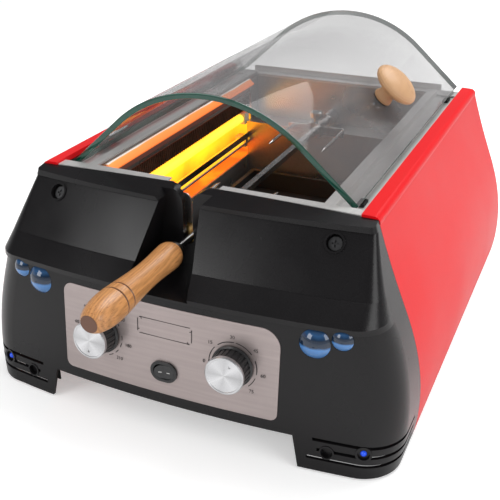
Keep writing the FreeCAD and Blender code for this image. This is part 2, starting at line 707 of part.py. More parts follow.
def make_heater():
    y0, y1 = WINDOW[0] + 1.0, WINDOW[1] - 1.0
    tubes, coils, holders = [], [], []
    for x, z in TUBES:
        tubes.append(tube((x, y0 + 8, z), (0, 1, 0), 5.0, 4.0, y1 - y0 - 16))
        coils.append(cyl((x, y0 + 6, z), (0, 1, 0), 2.6, y1 - y0 - 12))
        for a in (y0, y1 - 12.0):
            block = box(x - 6.5, x + 6.5, a, a + 12.0, z - 6.5, z + 6.5)
            inner = a + 8.0 if a == y0 else a - 1.0
            block = block.cut(cyl((x, inner, z), (0, 1, 0), 5.0, 5.0))
            rod = a + 6.0 if a == y0 else a
            holders.append(block.cut(cyl((x, rod, z), (0, 1, 0), 2.6, 6.0)))
    return Part.makeCompound(tubes), Part.makeCompound(coils), Part.makeCompound(holders)


def make_winding():
    """Unlit upper element: a board with slanted turns of wire on its face."""
    y0, y1 = WINDOW[0] + 1.0, WINDOW[1] - 1.0
    z0, z1 = WIND_Z
    x = -FRAME_X
    board = box(x - 1.6, x, y0, y1, z0, z1)
    turns = []
    n = 68
    for i in range(n):
        y = y0 + 6.0 + (y1 - y0 - 18.0) * i / (n - 1)
        pts = [V(x, y, z0), V(x, y + 2.0, z0), V(x, y + 8.0, z1), V(x, y + 6.0, z1)]
        turns.append(Part.Face(Part.makePolygon(pts + [pts[0]])).extrude(V(1.0, 0, 0)))
    return board.fuse(turns)


def make_guard():
    """Flat rail and round bar across the lit window, in front of the tubes."""
    y0, y1 = WINDOW[0] - 5.0, STEP_Y
    x = -FRAME_X + SHEET
    rail = box(x, x + 1.4, y0, y1, 120.5, 127.5)
    bar = cyl((x + 1.5, y0, 116.0), (0, 1, 0), 1.5, y1 - y0)
    ties = [box(x, x + 1.4, y0 + 4 + i * (y1 - y0 - 14) / 3, y0 + 10 + i * (y1 - y0 - 14) / 3,
                115.0, 124.0) for i in (0, 3)]
    return fuse(rail, bar, ties)


def make_shield():
    """Bent lip above the heater that throws its heat down."""
    x = -FRAME_X + SHEET
    pts = [(x, 190.8), (x + 1.0, 190.8), (x + 6.6, 185.6), (x + 6.6, 184.6), (x + 5.8, 184.8),
           (x + 0.9, 189.4), (x + 1.0, 176.0), (x, 176.0)]
    return prism_xz(pts, WINDOW[0], WINDOW[1] - 6)


def make_tray():
    x0, x1, y0, y1 = -90.0, 94.0, 66.0, 358.0
    z0, z1 = TUB_Z + SHEET + 0.3, 84.0
    tray = box(x0, x1, y0, y1, z0, z1)
    tray = tray.cut(box(x0 + 1, x1 - 1, y0 + 1, y1 - 1, z0 + 1, z1 + 5))
    rim = box(x0 - 4, x1 + 4, y0 - 4, y1 + 4, z1 - 1, z1)
    return fuse(tray, rim.cut(box(x0 + 0.5, x1 - 0.5, y0 + 0.5, y1 - 0.5, z1 - 5, z1 + 5)))


def make_supports():
    legs = []
    for x in (-84.0, 84.0):
        for y in (100.0, 320.0):
            legs.append(fuse(box(x - 10, x + 10, y, y + SHEET, BASE_Z + SHEET, TUB_Z),
                             box(x - 10, x + 10, y, y + 14, BASE_Z + SHEET, BASE_Z + 2 * SHEET),
                             box(x - 10, x + 10, y, y + 14, TUB_Z - SHEET, TUB_Z)))
    return Part.makeCompound(legs)


# ---------------------------------------------------------------- rotisserie
def smooth_profile(knots, n):
    """Denser turned profile through the knots (monotone in height)."""
    curve = Part.BSplineCurve()
    curve.interpolate([V(r, 0, h) for h, r in knots])
    return [(p.z, p.x) for p in curve.discretize(n)]


def make_handle():
    length = HANDLE_REAR_Y - HANDLE_END_Y
    k = length / 120.0
    knots = [(0.6, 7.2), (4.0, 9.4), (10.0, 11.3), (18.0, 12.6), (31.0, 12.9)]
    end = smooth_profile(knots, 14)
    waist = smooth_profile([(42.0, 12.2), (60.0, 10.9), (78.0, 10.2), (94.0, 10.6), (108.0, 11.4),
                            (114.0, 11.2), (118.0, 9.6), (120.0, 7.8)], 26)
    profile = [(0.0, 6.6)] + end + [(32.0, 12.0), (33.0, 12.8), (40.0, 12.4), (41.0, 11.6)] + waist
    body = turned([(h * k, r) for h, r in profile], (SPIT_X, HANDLE_END_Y, SPIT_Z), (0, 1, 0))
    return body.cut(cyl((SPIT_X, HANDLE_END_Y + 46.0, SPIT_Z), (0, 1, 0), SHAFT_R + 0.03, length))


SQUARE_Y = CHAMBER_Y0 + SPIT_PULL + 3.0   # the square part stays behind the bearing


def make_spit():
    round_part = cyl((SPIT_X, HANDLE_END_Y + 46.0, SPIT_Z), (0, 1, 0), SHAFT_R,
                     SQUARE_Y - HANDLE_END_Y - 46.0)
    h = SQUARE / 2
    square = box(SPIT_X - h, SPIT_X + h, SQUARE_Y, SPIT_REAR_Y, SPIT_Z - h, SPIT_Z + h)
    point = box(SPIT_X - h + 1, SPIT_X + h - 1, SPIT_REAR_Y, SPIT_REAR_Y + 0.8,
                SPIT_Z - h + 1, SPIT_Z + h - 1)
    return fuse(round_part, square, point)


def make_ferrule():
    ring = turned([(0.0, 7.8), (1.5, 8.0), (4.5, 7.0), (6.5, 4.6)],
                  (SPIT_X, HANDLE_REAR_Y, SPIT_Z), (0, 1, 0))
    return ring.cut(cyl((SPIT_X, HANDLE_REAR_Y - 1, SPIT_Z), (0, 1, 0), SHAFT_R + 0.03, 20.0))


def make_bearing():
    block = box(SPIT_X - 9, SPIT_X + 9, 47.0, CHAMBER_Y0, SPIT_Z - 11, SPIT_Z + 8)
    r = SHAFT_R + RUN_FIT
    block = block.cut(cyl((SPIT_X, 40, SPIT_Z), (0, 1, 0), r, 20.0))
    return block.cut(box(SPIT_X - r, SPIT_X + r, 40, 60, SPIT_Z, 200))


def square_bore(y0, y1, clearance):
    h = SQUARE / 2 + clearance
    return box(SPIT_X - h, SPIT_X + h, y0, y1, SPIT_Z - h, SPIT_Z + h)


def make_fork(y, aim):
    """Fork on a sliding hub; its prongs point along aim (+1 back, -1 front)."""
    hub = box(SPIT_X - 7, SPIT_X + 7, y - 6, y + 6, SPIT_Z - 7, SPIT_Z + 9)
    arm = box(SPIT_X - 33, SPIT_X + 33, y - 1.5, y + 1.5, SPIT_Z - 5, SPIT_Z + 5)
    prongs = []
    for dx in (-30.0, 30.0):
        prongs.append(cyl((SPIT_X + dx, y, SPIT_Z), (0, aim, 0), 1.9, 56.0))
        prongs.append(Part.makeCone(1.9, 0.4, 8.0, V(SPIT_X + dx, y + aim * 56.0, SPIT_Z),
                                    V(0, aim, 0)))
    fork = fuse(hub, arm, prongs).cut(square_bore(y - 20, y + 20, SLIDE_FIT))
    return fork.cut(cyl((SPIT_X, y, SPIT_Z), (0, 0, 1), 2.5 + RUN_FIT, 30.0))


def make_fork_screw(y):
    base = SPIT_Z + SQUARE / 2 + SLIDE_FIT
    screw = turned([(0.0, 2.5), (10.0, 2.5), (10.0, 4.0), (12.0, 7.0), (17.0, 7.0), (18.0, 6.0)],
                   (SPIT_X, y, base), (0, 0, 1))
    flutes = [cyl((SPIT_X + 7.2 * math.cos(a), y + 7.2 * math.sin(a), base + 9), (0, 0, 1), 0.7, 12)
              for a in [math.radians(20.0 * i) for i in range(18)]]
    return screw.cut(flutes)


FORK_Y = (96.0, 344.0)


def make_socket():
    body = fuse(cyl((SPIT_X, SOCKET_Y, SPIT_Z), (0, 1, 0), 7.5, CHAMBER_Y1 - 0.4 - SOCKET_Y),
                cyl((SPIT_X, SOCKET_Y, SPIT_Z), (0, 1, 0), 4.0, CHAMBER_Y1 + 9.0 - SOCKET_Y))
    return body.cut(square_bore(SOCKET_Y - 1, SPIT_REAR_Y + 1.4, SLIDE_FIT))


MOTOR_R = 24.0


def make_motor():
    y0 = CHAMBER_Y1 + SHEET
    y1 = rear_y(SPIT_Z + MOTOR_R) - REAR_INSET - REAR_T - 0.5
    body = fuse(cyl((SPIT_X, y0, SPIT_Z), (0, 1, 0), MOTOR_R, y1 - y0),
                box(SPIT_X - 33, SPIT_X + 33, y0, y0 + 1.6, SPIT_Z - 7, SPIT_Z + 7))
    body = body.cut(cyl((SPIT_X, y0 - 1, SPIT_Z), (0, 1, 0), 4.0 + RUN_FIT, 10.0))
    for dx in (-29.0, 29.0):
        body = body.cut(cyl((SPIT_X + dx, y0 - 1, SPIT_Z), (0, 1, 0), 2.2, 6.0))
    return body


# ----------------------------------------------------------------- glass lid
A = math.radians(LID_ANG)
FLANK = V(math.cos(A), 0, math.sin(A))       # up the left flank
OUTWARD = V(-math.sin(A), 0, math.cos(A))    # out of the left flank


def lid_end():
    """Lower outer corner of the left flank."""
    tx, tz = -LID_R * math.sin(A), LID_CZ + LID_R * math.cos(A)
    run = (LID_HALF + tx) / math.cos(A)
    return V(tx, 0, tz) - FLANK * run


def make_glass():
    r1, r0 = LID_R, LID_R - LID_T
    e = lid_end()
    i = e - OUTWARD * LID_T

    def m(p):
        return V(-p.x, p.y, p.z)

    def tangent(r):
        return V(-r * math.sin(A), 0, LID_CZ + r * math.cos(A))
    edges = [Part.LineSegment(e, tangent(r1)).toShape(),
             Part.Arc(tangent(r1), V(0, 0, LID_CZ + r1), m(tangent(r1))).toShape(),
             Part.LineSegment(m(tangent(r1)), m(e)).toShape(),
             Part.LineSegment(m(e), m(i)).toShape(),
             Part.LineSegment(m(i), m(tangent(r0))).toShape(),
             Part.Arc(m(tangent(r0)), V(0, 0, LID_CZ + r0), tangent(r0)).toShape(),
             Part.LineSegment(tangent(r0), i).toShape(),
             Part.LineSegment(i, e).toShape()]
    face = Part.Face(Part.Wire(edges))
    face.translate(V(0, LID_Y0, 0))
    glass = face.extrude(V(0, LID_Y1 - LID_Y0, 0))
    p, n = knob_seat()
    return glass.cut(spot(p, n, 8.0, 2.9, 10.0))


def knob_seat():
    """Foot of the lid knob on the right flank, and the flank's normal."""
    s = 14.2
    x, z = LID_R * math.sin(A), LID_CZ + LID_R * math.cos(A)
    return V(x + s * math.cos(A), 238.0, z - s * math.sin(A)), V(math.sin(A), 0, math.cos(A))


def flank_prism(t0, t1, p0, p1, y0, y1):
    e = lid_end()
    pts = [e + FLANK * t + OUTWARD * p for t, p in ((t0, p0), (t1, p0), (t1, p1), (t0, p1))]
    return prism_xz([(p.x, p.z) for p in pts], y0, y1)


def make_hinges():
    leaves, brackets, pins = [], [], []
    for y in HINGE_Y:
        leaf = [flank_prism(2.4, 15.0, 0.0, 1.4, y - 16, y + 16)]
        for a, b in ((y - 16, y - 6.4), (y + 6.4, y + 16)):
            leaf.append(flank_prism(-1.6, 3.0, 0.0, 1.4, a, b))
            leaf.append(cyl((HINGE_X, a, HINGE_Z), (0, 1, 0), 3.0, b - a))
        leaf = fuse(*leaf).cut(cyl((HINGE_X, y - 20, HINGE_Z), (0, 1, 0), HINGE_PIN_R + RUN_FIT, 40))
        leaves.append(leaf)
        foot = fuse(cyl((HINGE_X, y - 6, HINGE_Z), (0, 1, 0), 3.0, 12.0),
                    box(HINGE_X - 3.0, HINGE_X - 1.4, y - 6, y + 6, GUTTER_Z + SHEET, HINGE_Z))
        brackets.append(foot.cut(cyl((HINGE_X, y - 20, HINGE_Z), (0, 1, 0), HINGE_PIN_R, 40)))
        pins.append(cyl((HINGE_X, y - 17, HINGE_Z), (0, 1, 0), HINGE_PIN_R, 34.0))
    return [Part.makeCompound(x) for x in (leaves, brackets, pins)]


def make_hinge_wall():
    x = PANEL_INNER_X - 0.5
    wall = box(-x, -x + SHEET, 54.6, CHAMBER_Y1 - 0.4, GUTTER_Z + SHEET, 191.6)
    for y in HINGE_Y:
        wall = wall.cut(box(-x - 1, -x + 5, y - 17.5, y + 17.5, 180, 200))
    return wall


def make_pads():
    top = (lid_end() - OUTWARD * LID_T).z - 0.3
    return Part.makeCompound([box(124.0, 130.0, y - 6, y + 6, GUTTER_Z + SHEET, top)
                              for y in (LID_Y0 + 20.0, LID_Y1 - 40.0)])


def make_lid_knob():
    p, n = knob_seat()
    knots = [(1.2, 9.0), (3.0, 9.6), (6.0, 8.4), (10.0, 8.2), (13.0, 9.8)]
    head = [(14.0, 13.0), (15.5, 18.5), (18.0, 21.8), (20.5, 22.5), (23.0, 21.6), (26.0, 18.0),
            (28.4, 12.0), (29.6, 5.0)]
    profile = smooth_profile(knots, 12) + smooth_profile(head, 16)
    knob = turned(profile, (0, 0, 0), (0, 0, 1)).cut(Part.makeCylinder(2.5, 11.8, V(0, 0, 0.2)))
    washer = Part.makeCylinder(8.6, 1.2).cut(Part.makeCylinder(2.9, 3.0, V(0, 0, -1)))
    screw = fuse(Part.makeCylinder(2.5, 12.0 + LID_T + 1, V(0, 0, -LID_T - 1)),
                 Part.makeCylinder(5.5, 2.6, V(0, 0, -LID_T - 2.6)))
    return [local(x, p, n) for x in (knob, washer, screw)]


# ------------------------------------------------------------------- writing
save("front_moulding", make_moulding())
panel = make_side_panel()
save("side_panel_right", panel)
save("side_panel_left", mirrored(panel))
save("rear_panel", make_rear_panel())
save("power_inlet", make_inlet())
save("base_plate", make_base())
save("rubber_feet", make_feet())
save("terminal_block", box(96, 140, 372, 392, BASE_Z + SHEET, BASE_Z + 20))
save("control_plate", make_plate())
for side, kind, control, radius, depth in ((-1, "temperature", "thermostat", 15.0, 16.0),
                                           (1, "timer", "timer", 21.0, 26.0)):
    knob, cap, shaft = make_knob(side)
    save(kind + "_knob", knob)
    save(kind + "_cap", cap)
    save(kind + "_shaft", shaft)
    save(control + "_body", make_control(side, radius, depth))
switch, rocker = make_switch()
save("mode_switch", switch)
save("mode_rocker", rocker)
save("lens_large", make_lenses("large", 5.4))
save("lens_small", make_lenses("small", 3.8))
save("vent_lights", make_lights())
save("front_screws", make_front_screws())

save("top_frame", make_top_frame())
save("chamber_liner", make_liner())
save("liner_supports", make_supports())
save("drip_tray", make_tray())
save("heater_reflector", make_reflector())
tubes, coils, holders = make_heater()
save("heater_tubes", tubes)
save("heater_coils", coils)
save("heater_holders", holders)
save("heater_winding", make_winding())
save("heater_guard", make_guard())
save("heater_lip", make_shield())

save("spit_shaft", make_spit())
save("spit_handle", make_handle())
save("handle_ferrule", make_ferrule())
save("spit_bearing", make_bearing())
for name, y, aim in (("front", FORK_Y[0], 1), ("rear", FORK_Y[1], -1)):
    save("fork_" + name, make_fork(y, aim))
    save("fork_screw_" + name, make_fork_screw(y))
save("drive_socket", make_socket())
save("spit_motor", make_motor())

save("lid_glass", make_glass())
leaves, brackets, pins = make_hinges()
save("lid_hinges", leaves)
save("hinge_brackets", brackets)
save("hinge_pins", pins)
save("hinge_wall", make_hinge_wall())
save("lid_pads", make_pads())
lid_knob, washer, screw = make_lid_knob()
save("lid_knob", lid_knob)
save("lid_knob_washer", washer)
save("lid_knob_screw", screw)
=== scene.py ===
import math

import bpy
from mathutils import Matrix, Vector


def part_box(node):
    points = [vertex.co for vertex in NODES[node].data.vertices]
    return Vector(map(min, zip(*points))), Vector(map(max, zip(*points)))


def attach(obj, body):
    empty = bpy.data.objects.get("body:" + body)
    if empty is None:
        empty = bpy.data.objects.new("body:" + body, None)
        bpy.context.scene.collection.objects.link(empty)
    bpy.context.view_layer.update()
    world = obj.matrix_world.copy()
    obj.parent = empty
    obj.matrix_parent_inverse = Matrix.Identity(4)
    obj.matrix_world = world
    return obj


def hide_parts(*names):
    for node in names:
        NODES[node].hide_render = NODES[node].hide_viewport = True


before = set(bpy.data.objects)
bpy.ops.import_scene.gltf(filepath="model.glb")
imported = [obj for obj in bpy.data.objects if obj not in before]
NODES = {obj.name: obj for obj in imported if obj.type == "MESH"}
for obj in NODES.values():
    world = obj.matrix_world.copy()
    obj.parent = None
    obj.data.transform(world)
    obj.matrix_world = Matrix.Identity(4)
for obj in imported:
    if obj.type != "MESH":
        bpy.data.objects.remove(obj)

bl_info = {
    "name": "Rotisserie oven",
    "version": (1, 0, 0),
    "blender": (4, 5, 0),
    "location": "View3D > Sidebar > Oven",
    "description": "Finishes and added pieces of a table-top rotisserie oven",
    "category": "Object",
}

MM = 0.001
Y_MID = 0.163


def at(x, y, z):
    """Point given in millimetres from the front of the casing, in the row frame."""
    return Vector((x * MM, y * MM - Y_MID, z * MM))


# ---------------------------------------------------------------- properties
class OvenSizes(bpy.types.PropertyGroup):
    glass_bevel: bpy.props.FloatProperty(
        name="Glass edge bevel", description="Width of the ground edge of the lid glass",
        default=0.0006, unit="LENGTH")
    arc_steps: bpy.props.IntProperty(
        name="Arc steps", description="Steps in the bent crown of the lid glass", default=56)
    print_height: bpy.props.FloatProperty(
        name="Print height", description="Thickness of the printed ink", default=0.00004,
        unit="LENGTH")
    ring_radius: bpy.props.FloatProperty(
        name="Scale radius", description="Radius of the printed dial ring", default=0.0202,
        unit="LENGTH")


class OvenColours(bpy.types.PropertyGroup):
    red: bpy.props.FloatVectorProperty(
        name="Casing red", description="Lacquer of the side panels", subtype="COLOR",
        default=(0.69, 0.0036, 0.0075), min=0, max=1)
    moulding: bpy.props.FloatVectorProperty(
        name="Moulding black", description="Front moulding plastic", subtype="COLOR",
        default=(0.0085, 0.0078, 0.0085), min=0, max=1)
    plate: bpy.props.FloatVectorProperty(
        name="Control plate", description="Brushed metal behind the dials", subtype="COLOR",
        default=(0.43, 0.365, 0.355), min=0, max=1)
    steel: bpy.props.FloatVectorProperty(
        name="Chamber steel", description="Bright sheet of the chamber and frame",
        subtype="COLOR", default=(0.60, 0.59, 0.58), min=0, max=1)
    wood: bpy.props.FloatVectorProperty(
        name="Handle wood", description="Turned wood of the spit handle", subtype="COLOR",
        default=(0.52, 0.24, 0.085), min=0, max=1)
    pale_wood: bpy.props.FloatVectorProperty(
        name="Knob wood", description="Turned wood of the lid knob", subtype="COLOR",
        default=(0.56, 0.33, 0.17), min=0, max=1)
    lens: bpy.props.FloatVectorProperty(
        name="Lens blue", description="Tinted lamp lenses", subtype="COLOR",
        default=(0.045, 0.15, 0.36), min=0, max=1)
    glow: bpy.props.FloatVectorProperty(
        name="Heater glow", description="Colour of the lit element", subtype="COLOR",
        default=(1.0, 0.50, 0.03), min=0, max=1)
    # The grey of the pane is partly smoke tint, partly a painted reflection veil.
    glass: bpy.props.FloatVectorProperty(
        name="Glass tint", description="Tint of the lid glass", subtype="COLOR",
        default=(0.17, 0.165, 0.168), min=0, max=1)


def sizes():
    return bpy.context.scene.oven_sizes


def colours():
    return bpy.context.scene.oven_colours


# ------------------------------------------------------------- shader groups
def new_group(name, inputs, outputs):
    group = bpy.data.node_groups.new(name, "ShaderNodeTree")
    for label, kind, value in inputs:
        s = group.interface.new_socket(label, in_out="INPUT", socket_type=kind)
        if value is not None:
            s.default_value = value
    for label, kind in outputs:
        group.interface.new_socket(label, in_out="OUTPUT", socket_type=kind)
    return group, group.nodes.new("NodeGroupInput"), group.nodes.new("NodeGroupOutput")


def wire(tree, a, out, b, into):
    tree.links.new(a.outputs[out], b.inputs[into])


def grain_group():
    """Fine grain: noise stretched by Stretch, with a slower cloudiness under it."""
    if "surface_grain" in bpy.data.node_groups:
        return bpy.data.node_groups["surface_grain"]
    g, gi, go = new_group("surface_grain",
                          [("Vector", "NodeSocketVector", None), ("Scale", "NodeSocketFloat", 900.0),
                           ("Stretch", "NodeSocketVector", (1.0, 1.0, 1.0)),
                           ("Cloud Scale", "NodeSocketFloat", 14.0)],
                          [("Grain", "NodeSocketFloat"), ("Cloud", "NodeSocketFloat")])
    mul = g.nodes.new("ShaderNodeVectorMath")
    mul.operation = "MULTIPLY"
    fine, cloud = g.nodes.new("ShaderNodeTexNoise"), g.nodes.new("ShaderNodeTexNoise")
    fine.inputs["Detail"].default_value = 3.0
    cloud.inputs["Detail"].default_value = 4.0
    wire(g, gi, "Vector", mul, 0)
    wire(g, gi, "Stretch", mul, 1)
    wire(g, mul, 0, fine, "Vector")
    wire(g, gi, "Scale", fine, "Scale")
    wire(g, gi, "Vector", cloud, "Vector")
    wire(g, gi, "Cloud Scale", cloud, "Scale")
    wire(g, fine, "Fac", go, "Grain")
    wire(g, cloud, "Fac", go, "Cloud")
    return g


def timber_group():
    """Growth rings about the piece's own axis, pores along it and a soft figure."""
    if "timber_figure" in bpy.data.node_groups:
        return bpy.data.node_groups["timber_figure"]
    g, gi, go = new_group("timber_figure",
                          [("Vector", "NodeSocketVector", None), ("Ring Scale", "NodeSocketFloat", 90.0),
                           ("Pore Stretch", "NodeSocketVector", (1.0, 0.06, 1.0))],
                          [("Rings", "NodeSocketFloat"), ("Pores", "NodeSocketFloat")])
    wave, pores = g.nodes.new("ShaderNodeTexWave"), g.nodes.new("ShaderNodeTexNoise")
    wave.wave_type = "BANDS"
    wave.bands_direction = "X"
    wave.inputs["Distortion"].default_value = 9.0
    wave.inputs["Detail"].default_value = 3.0
    wave.inputs["Detail Scale"].default_value = 0.9
    mul = g.nodes.new("ShaderNodeVectorMath")
    mul.operation = "MULTIPLY"
    pores.inputs["Scale"].default_value = 1600.0
    pores.inputs["Detail"].default_value = 2.0
    wire(g, gi, "Vector", mul, 0)
    wire(g, gi, "Pore Stretch", mul, 1)
    wire(g, mul, 0, wave, "Vector")
    wire(g, gi, "Ring Scale", wave, "Scale")
    wire(g, mul, 0, pores, "Vector")
    wire(g, wave, "Fac", go, "Rings")
    wire(g, pores, "Fac", go, "Pores")
    return g


# ------------------------------------------------------------------ finishes
def blank(name):
    mat = bpy.data.materials.new(name)
    mat.use_nodes = True
    tree = mat.node_tree
    tree.nodes.clear()
    out = tree.nodes.new("ShaderNodeOutputMaterial")
    shader = tree.nodes.new("ShaderNodeBsdfPrincipled")
    wire(tree, shader, "BSDF", out, "Surface")
    coord = tree.nodes.new("ShaderNodeTexCoord")
    return mat, tree, shader, coord


def ramp(tree, stops, source, out):
    node = tree.nodes.new("ShaderNodeValToRGB")
    elements = node.color_ramp.elements
    while len(elements) > len(stops):
        elements.remove(elements[-1])
    while len(elements) < len(stops):
        elements.new(0.5)
    for e, (pos, col) in zip(elements, stops):
        e.position = pos
        e.color = (*col, 1.0) if len(col) == 3 else col
    wire(tree, source, out, node, "Fac")
    return node


def shade(colour, k):
    return tuple(min(1.0, c * k) for c in colour)


def finish(name, colour, metallic=0.0, rough=(0.3, 0.4), spread=0.1, scale=900.0, stretch=(1, 1, 1),
           cloud=14.0, bump=0.02, bump_scale=0.00005, coat=0.0, sheen=0.5):
    """A finish whose tone and gloss follow fine grain and a slower cloudiness."""
    mat, tree, shader, coord = blank(name)
    grain = tree.nodes.new("ShaderNodeGroup")
    grain.node_tree = grain_group()
    grain.inputs["Scale"].default_value = scale
    grain.inputs["Stretch"].default_value = stretch
    grain.inputs["Cloud Scale"].default_value = cloud
    wire(tree, coord, "Object", grain, "Vector")
    mix = tree.nodes.new("ShaderNodeMath")
    mix.operation = "ADD"
    wire(tree, grain, "Grain", mix, 0)
    wire(tree, grain, "Cloud", mix, 1)
    half = tree.nodes.new("ShaderNodeMath")
    half.operation = "MULTIPLY"
    half.inputs[1].default_value = 0.5
    wire(tree, mix, 0, half, 0)
    tone = ramp(tree, [(0.3, shade(colour, 1 - spread)), (0.7, shade(colour, 1 + spread))], half, 0)
    wire(tree, tone, "Color", shader, "Base Color")
    gloss = tree.nodes.new("ShaderNodeMapRange")
    gloss.inputs["From Min"].default_value = 0.3
    gloss.inputs["From Max"].default_value = 0.7
    gloss.inputs["To Min"].default_value = rough[0]
    gloss.inputs["To Max"].default_value = rough[1]
    wire(tree, grain, "Cloud", gloss, "Value")
    wire(tree, gloss, "Result", shader, "Roughness")
    relief = tree.nodes.new("ShaderNodeBump")
    relief.inputs["Strength"].default_value = bump
    relief.inputs["Distance"].default_value = bump_scale
    wire(tree, grain, "Grain", relief, "Height")
    wire(tree, relief, "Normal", shader, "Normal")
    shader.inputs["Metallic"].default_value = metallic
    shader.inputs["IOR"].default_value = 1.5
    shader.inputs["Specular IOR Level"].default_value = sheen
    if coat:
        shader.inputs["Coat Weight"].default_value = coat
        shader.inputs["Coat Roughness"].default_value = 0.04
    return mat


def timber(name, colour, centre, turn, stretch, ring_scale, gloss, end=None, grooves=()):
    """Varnished turned wood, its grain set along the piece by turn and stretch.

    In front of end (m along Y) the sawn end grain is darker, and so is each groove at its Y."""
    mat, tree, shader, coord = blank(name)
    place = tree.nodes.new("ShaderNodeMapping")
    place.vector_type = "TEXTURE"
    place.inputs["Location"].default_value = centre
    place.inputs["Rotation"].default_value = turn
    wire(tree, coord, "Object", place, "Vector")
    figure = tree.nodes.new("ShaderNodeGroup")
    figure.node_tree = timber_group()
    figure.inputs["Ring Scale"].default_value = ring_scale
    figure.inputs["Pore Stretch"].default_value = stretch
    wire(tree, place, "Vector", figure, "Vector")
    rings = ramp(tree, [(0.0, shade(colour, 0.84)), (0.5, colour), (1.0, shade(colour, 1.12))],
                 figure, "Rings")
    pores = ramp(tree, [(0.30, (0.62, 0.5, 0.42)), (0.46, (1.0, 1.0, 1.0))], figure, "Pores")
    mix = tree.nodes.new("ShaderNodeMix")
    mix.data_type = "RGBA"
    mix.blend_type = "MULTIPLY"
    mix.inputs["Factor"].default_value = 1.0
    wire(tree, rings, "Color", mix, "A")
    wire(tree, pores, "Color", mix, "B")
    tree.links.new(mix.outputs["Result"], shader.inputs["Base Color"])
    if end is not None:
        parts, front, sawn = (tree.nodes.new("ShaderNodeSeparateXYZ"),
                              tree.nodes.new("ShaderNodeMath"), tree.nodes.new("ShaderNodeMix"))
        front.operation = "LESS_THAN"
        front.inputs[1].default_value = end
        sawn.data_type = "RGBA"
        wire(tree, coord, "Object", parts, "Vector")
        wire(tree, parts, "Y", front, 0)
        mask = front
        for y in grooves:
            near, both = tree.nodes.new("ShaderNodeMath"), tree.nodes.new("ShaderNodeMath")
            near.operation, both.operation = "COMPARE", "MAXIMUM"
            near.inputs[1].default_value, near.inputs[2].default_value = y, 0.0007
            wire(tree, parts, "Y", near, 0)
            wire(tree, near, 0, both, 0)
            wire(tree, mask, 0, both, 1)
            mask = both
        wire(tree, mask, 0, sawn, "Factor")
        tree.links.new(mix.outputs["Result"], sawn.inputs["A"])
        sawn.inputs["B"].default_value = (0.13, 0.055, 0.03, 1.0)
        tree.links.new(sawn.outputs["Result"], shader.inputs["Base Color"])
    rough = tree.nodes.new("ShaderNodeMapRange")
    rough.inputs["To Min"].default_value = gloss + 0.12
    rough.inputs["To Max"].default_value = gloss
    wire(tree, figure, "Pores", rough, "Value")
    wire(tree, rough, "Result", shader, "Roughness")
    relief = tree.nodes.new("ShaderNodeBump")
    relief.inputs["Strength"].default_value = 0.25
    relief.inputs["Distance"].default_value = 0.0001
    wire(tree, figure, "Pores", relief, "Height")
    wire(tree, relief, "Normal", shader, "Normal")
    return mat


def lens_painted_glint(name, tint, middle, radius):
    """Domed lens with painted reflection: painted shade darkens it above, a painted highlight lights a
    blue crescent below, set by height about its middle.
    """
    mat, tree, shader, coord = blank(name)
    parts = tree.nodes.new("ShaderNodeSeparateXYZ")
    wire(tree, coord, "Object", parts, "Vector")
    noise = tree.nodes.new("ShaderNodeTexNoise")
    noise.inputs["Scale"].default_value = 160.0
    wire(tree, coord, "Object", noise, "Vector")
    level = tree.nodes.new("ShaderNodeMapRange")
    level.inputs["From Min"].default_value = middle - radius
    level.inputs["From Max"].default_value = middle + radius
    wire(tree, parts, "Z", level, "Value")
    wobble = tree.nodes.new("ShaderNodeMath")
    wobble.operation = "MULTIPLY_ADD"
    wobble.inputs[1].default_value = 0.08
    wire(tree, noise, "Fac", wobble, 0)
    wire(tree, level, "Result", wobble, 2)
    # Painted reflection by height: the 1.25 stop is a painted highlight below the middle, the low stops
    # above it are painted shade, and the 0.5 stop is a faint painted rim light.
    steps = ((0.0, 0.35), (0.16, 0.9), (0.44, 1.25), (0.52, 0.12), (0.74, 0.10), (0.90, 0.5),
             (1.0, 0.25))
    tone = ramp(tree, [(p, shade(tint, k)) for p, k in steps], wobble, 0)
    wire(tree, tone, "Color", shader, "Base Color")
    # The painted reflection also feeds a faint emission, a painted glow.
    wire(tree, tone, "Color", shader, "Emission Color")
    shader.inputs["Emission Strength"].default_value = 0.15
    gloss = tree.nodes.new("ShaderNodeMapRange")
    gloss.inputs["To Min"].default_value = 0.03
    gloss.inputs["To Max"].default_value = 0.07
    wire(tree, noise, "Fac", gloss, "Value")
    wire(tree, gloss, "Result", shader, "Roughness")
    shader.inputs["Coat Weight"].default_value = 0.5
    shader.inputs["Coat Roughness"].default_value = 0.03
    return mat


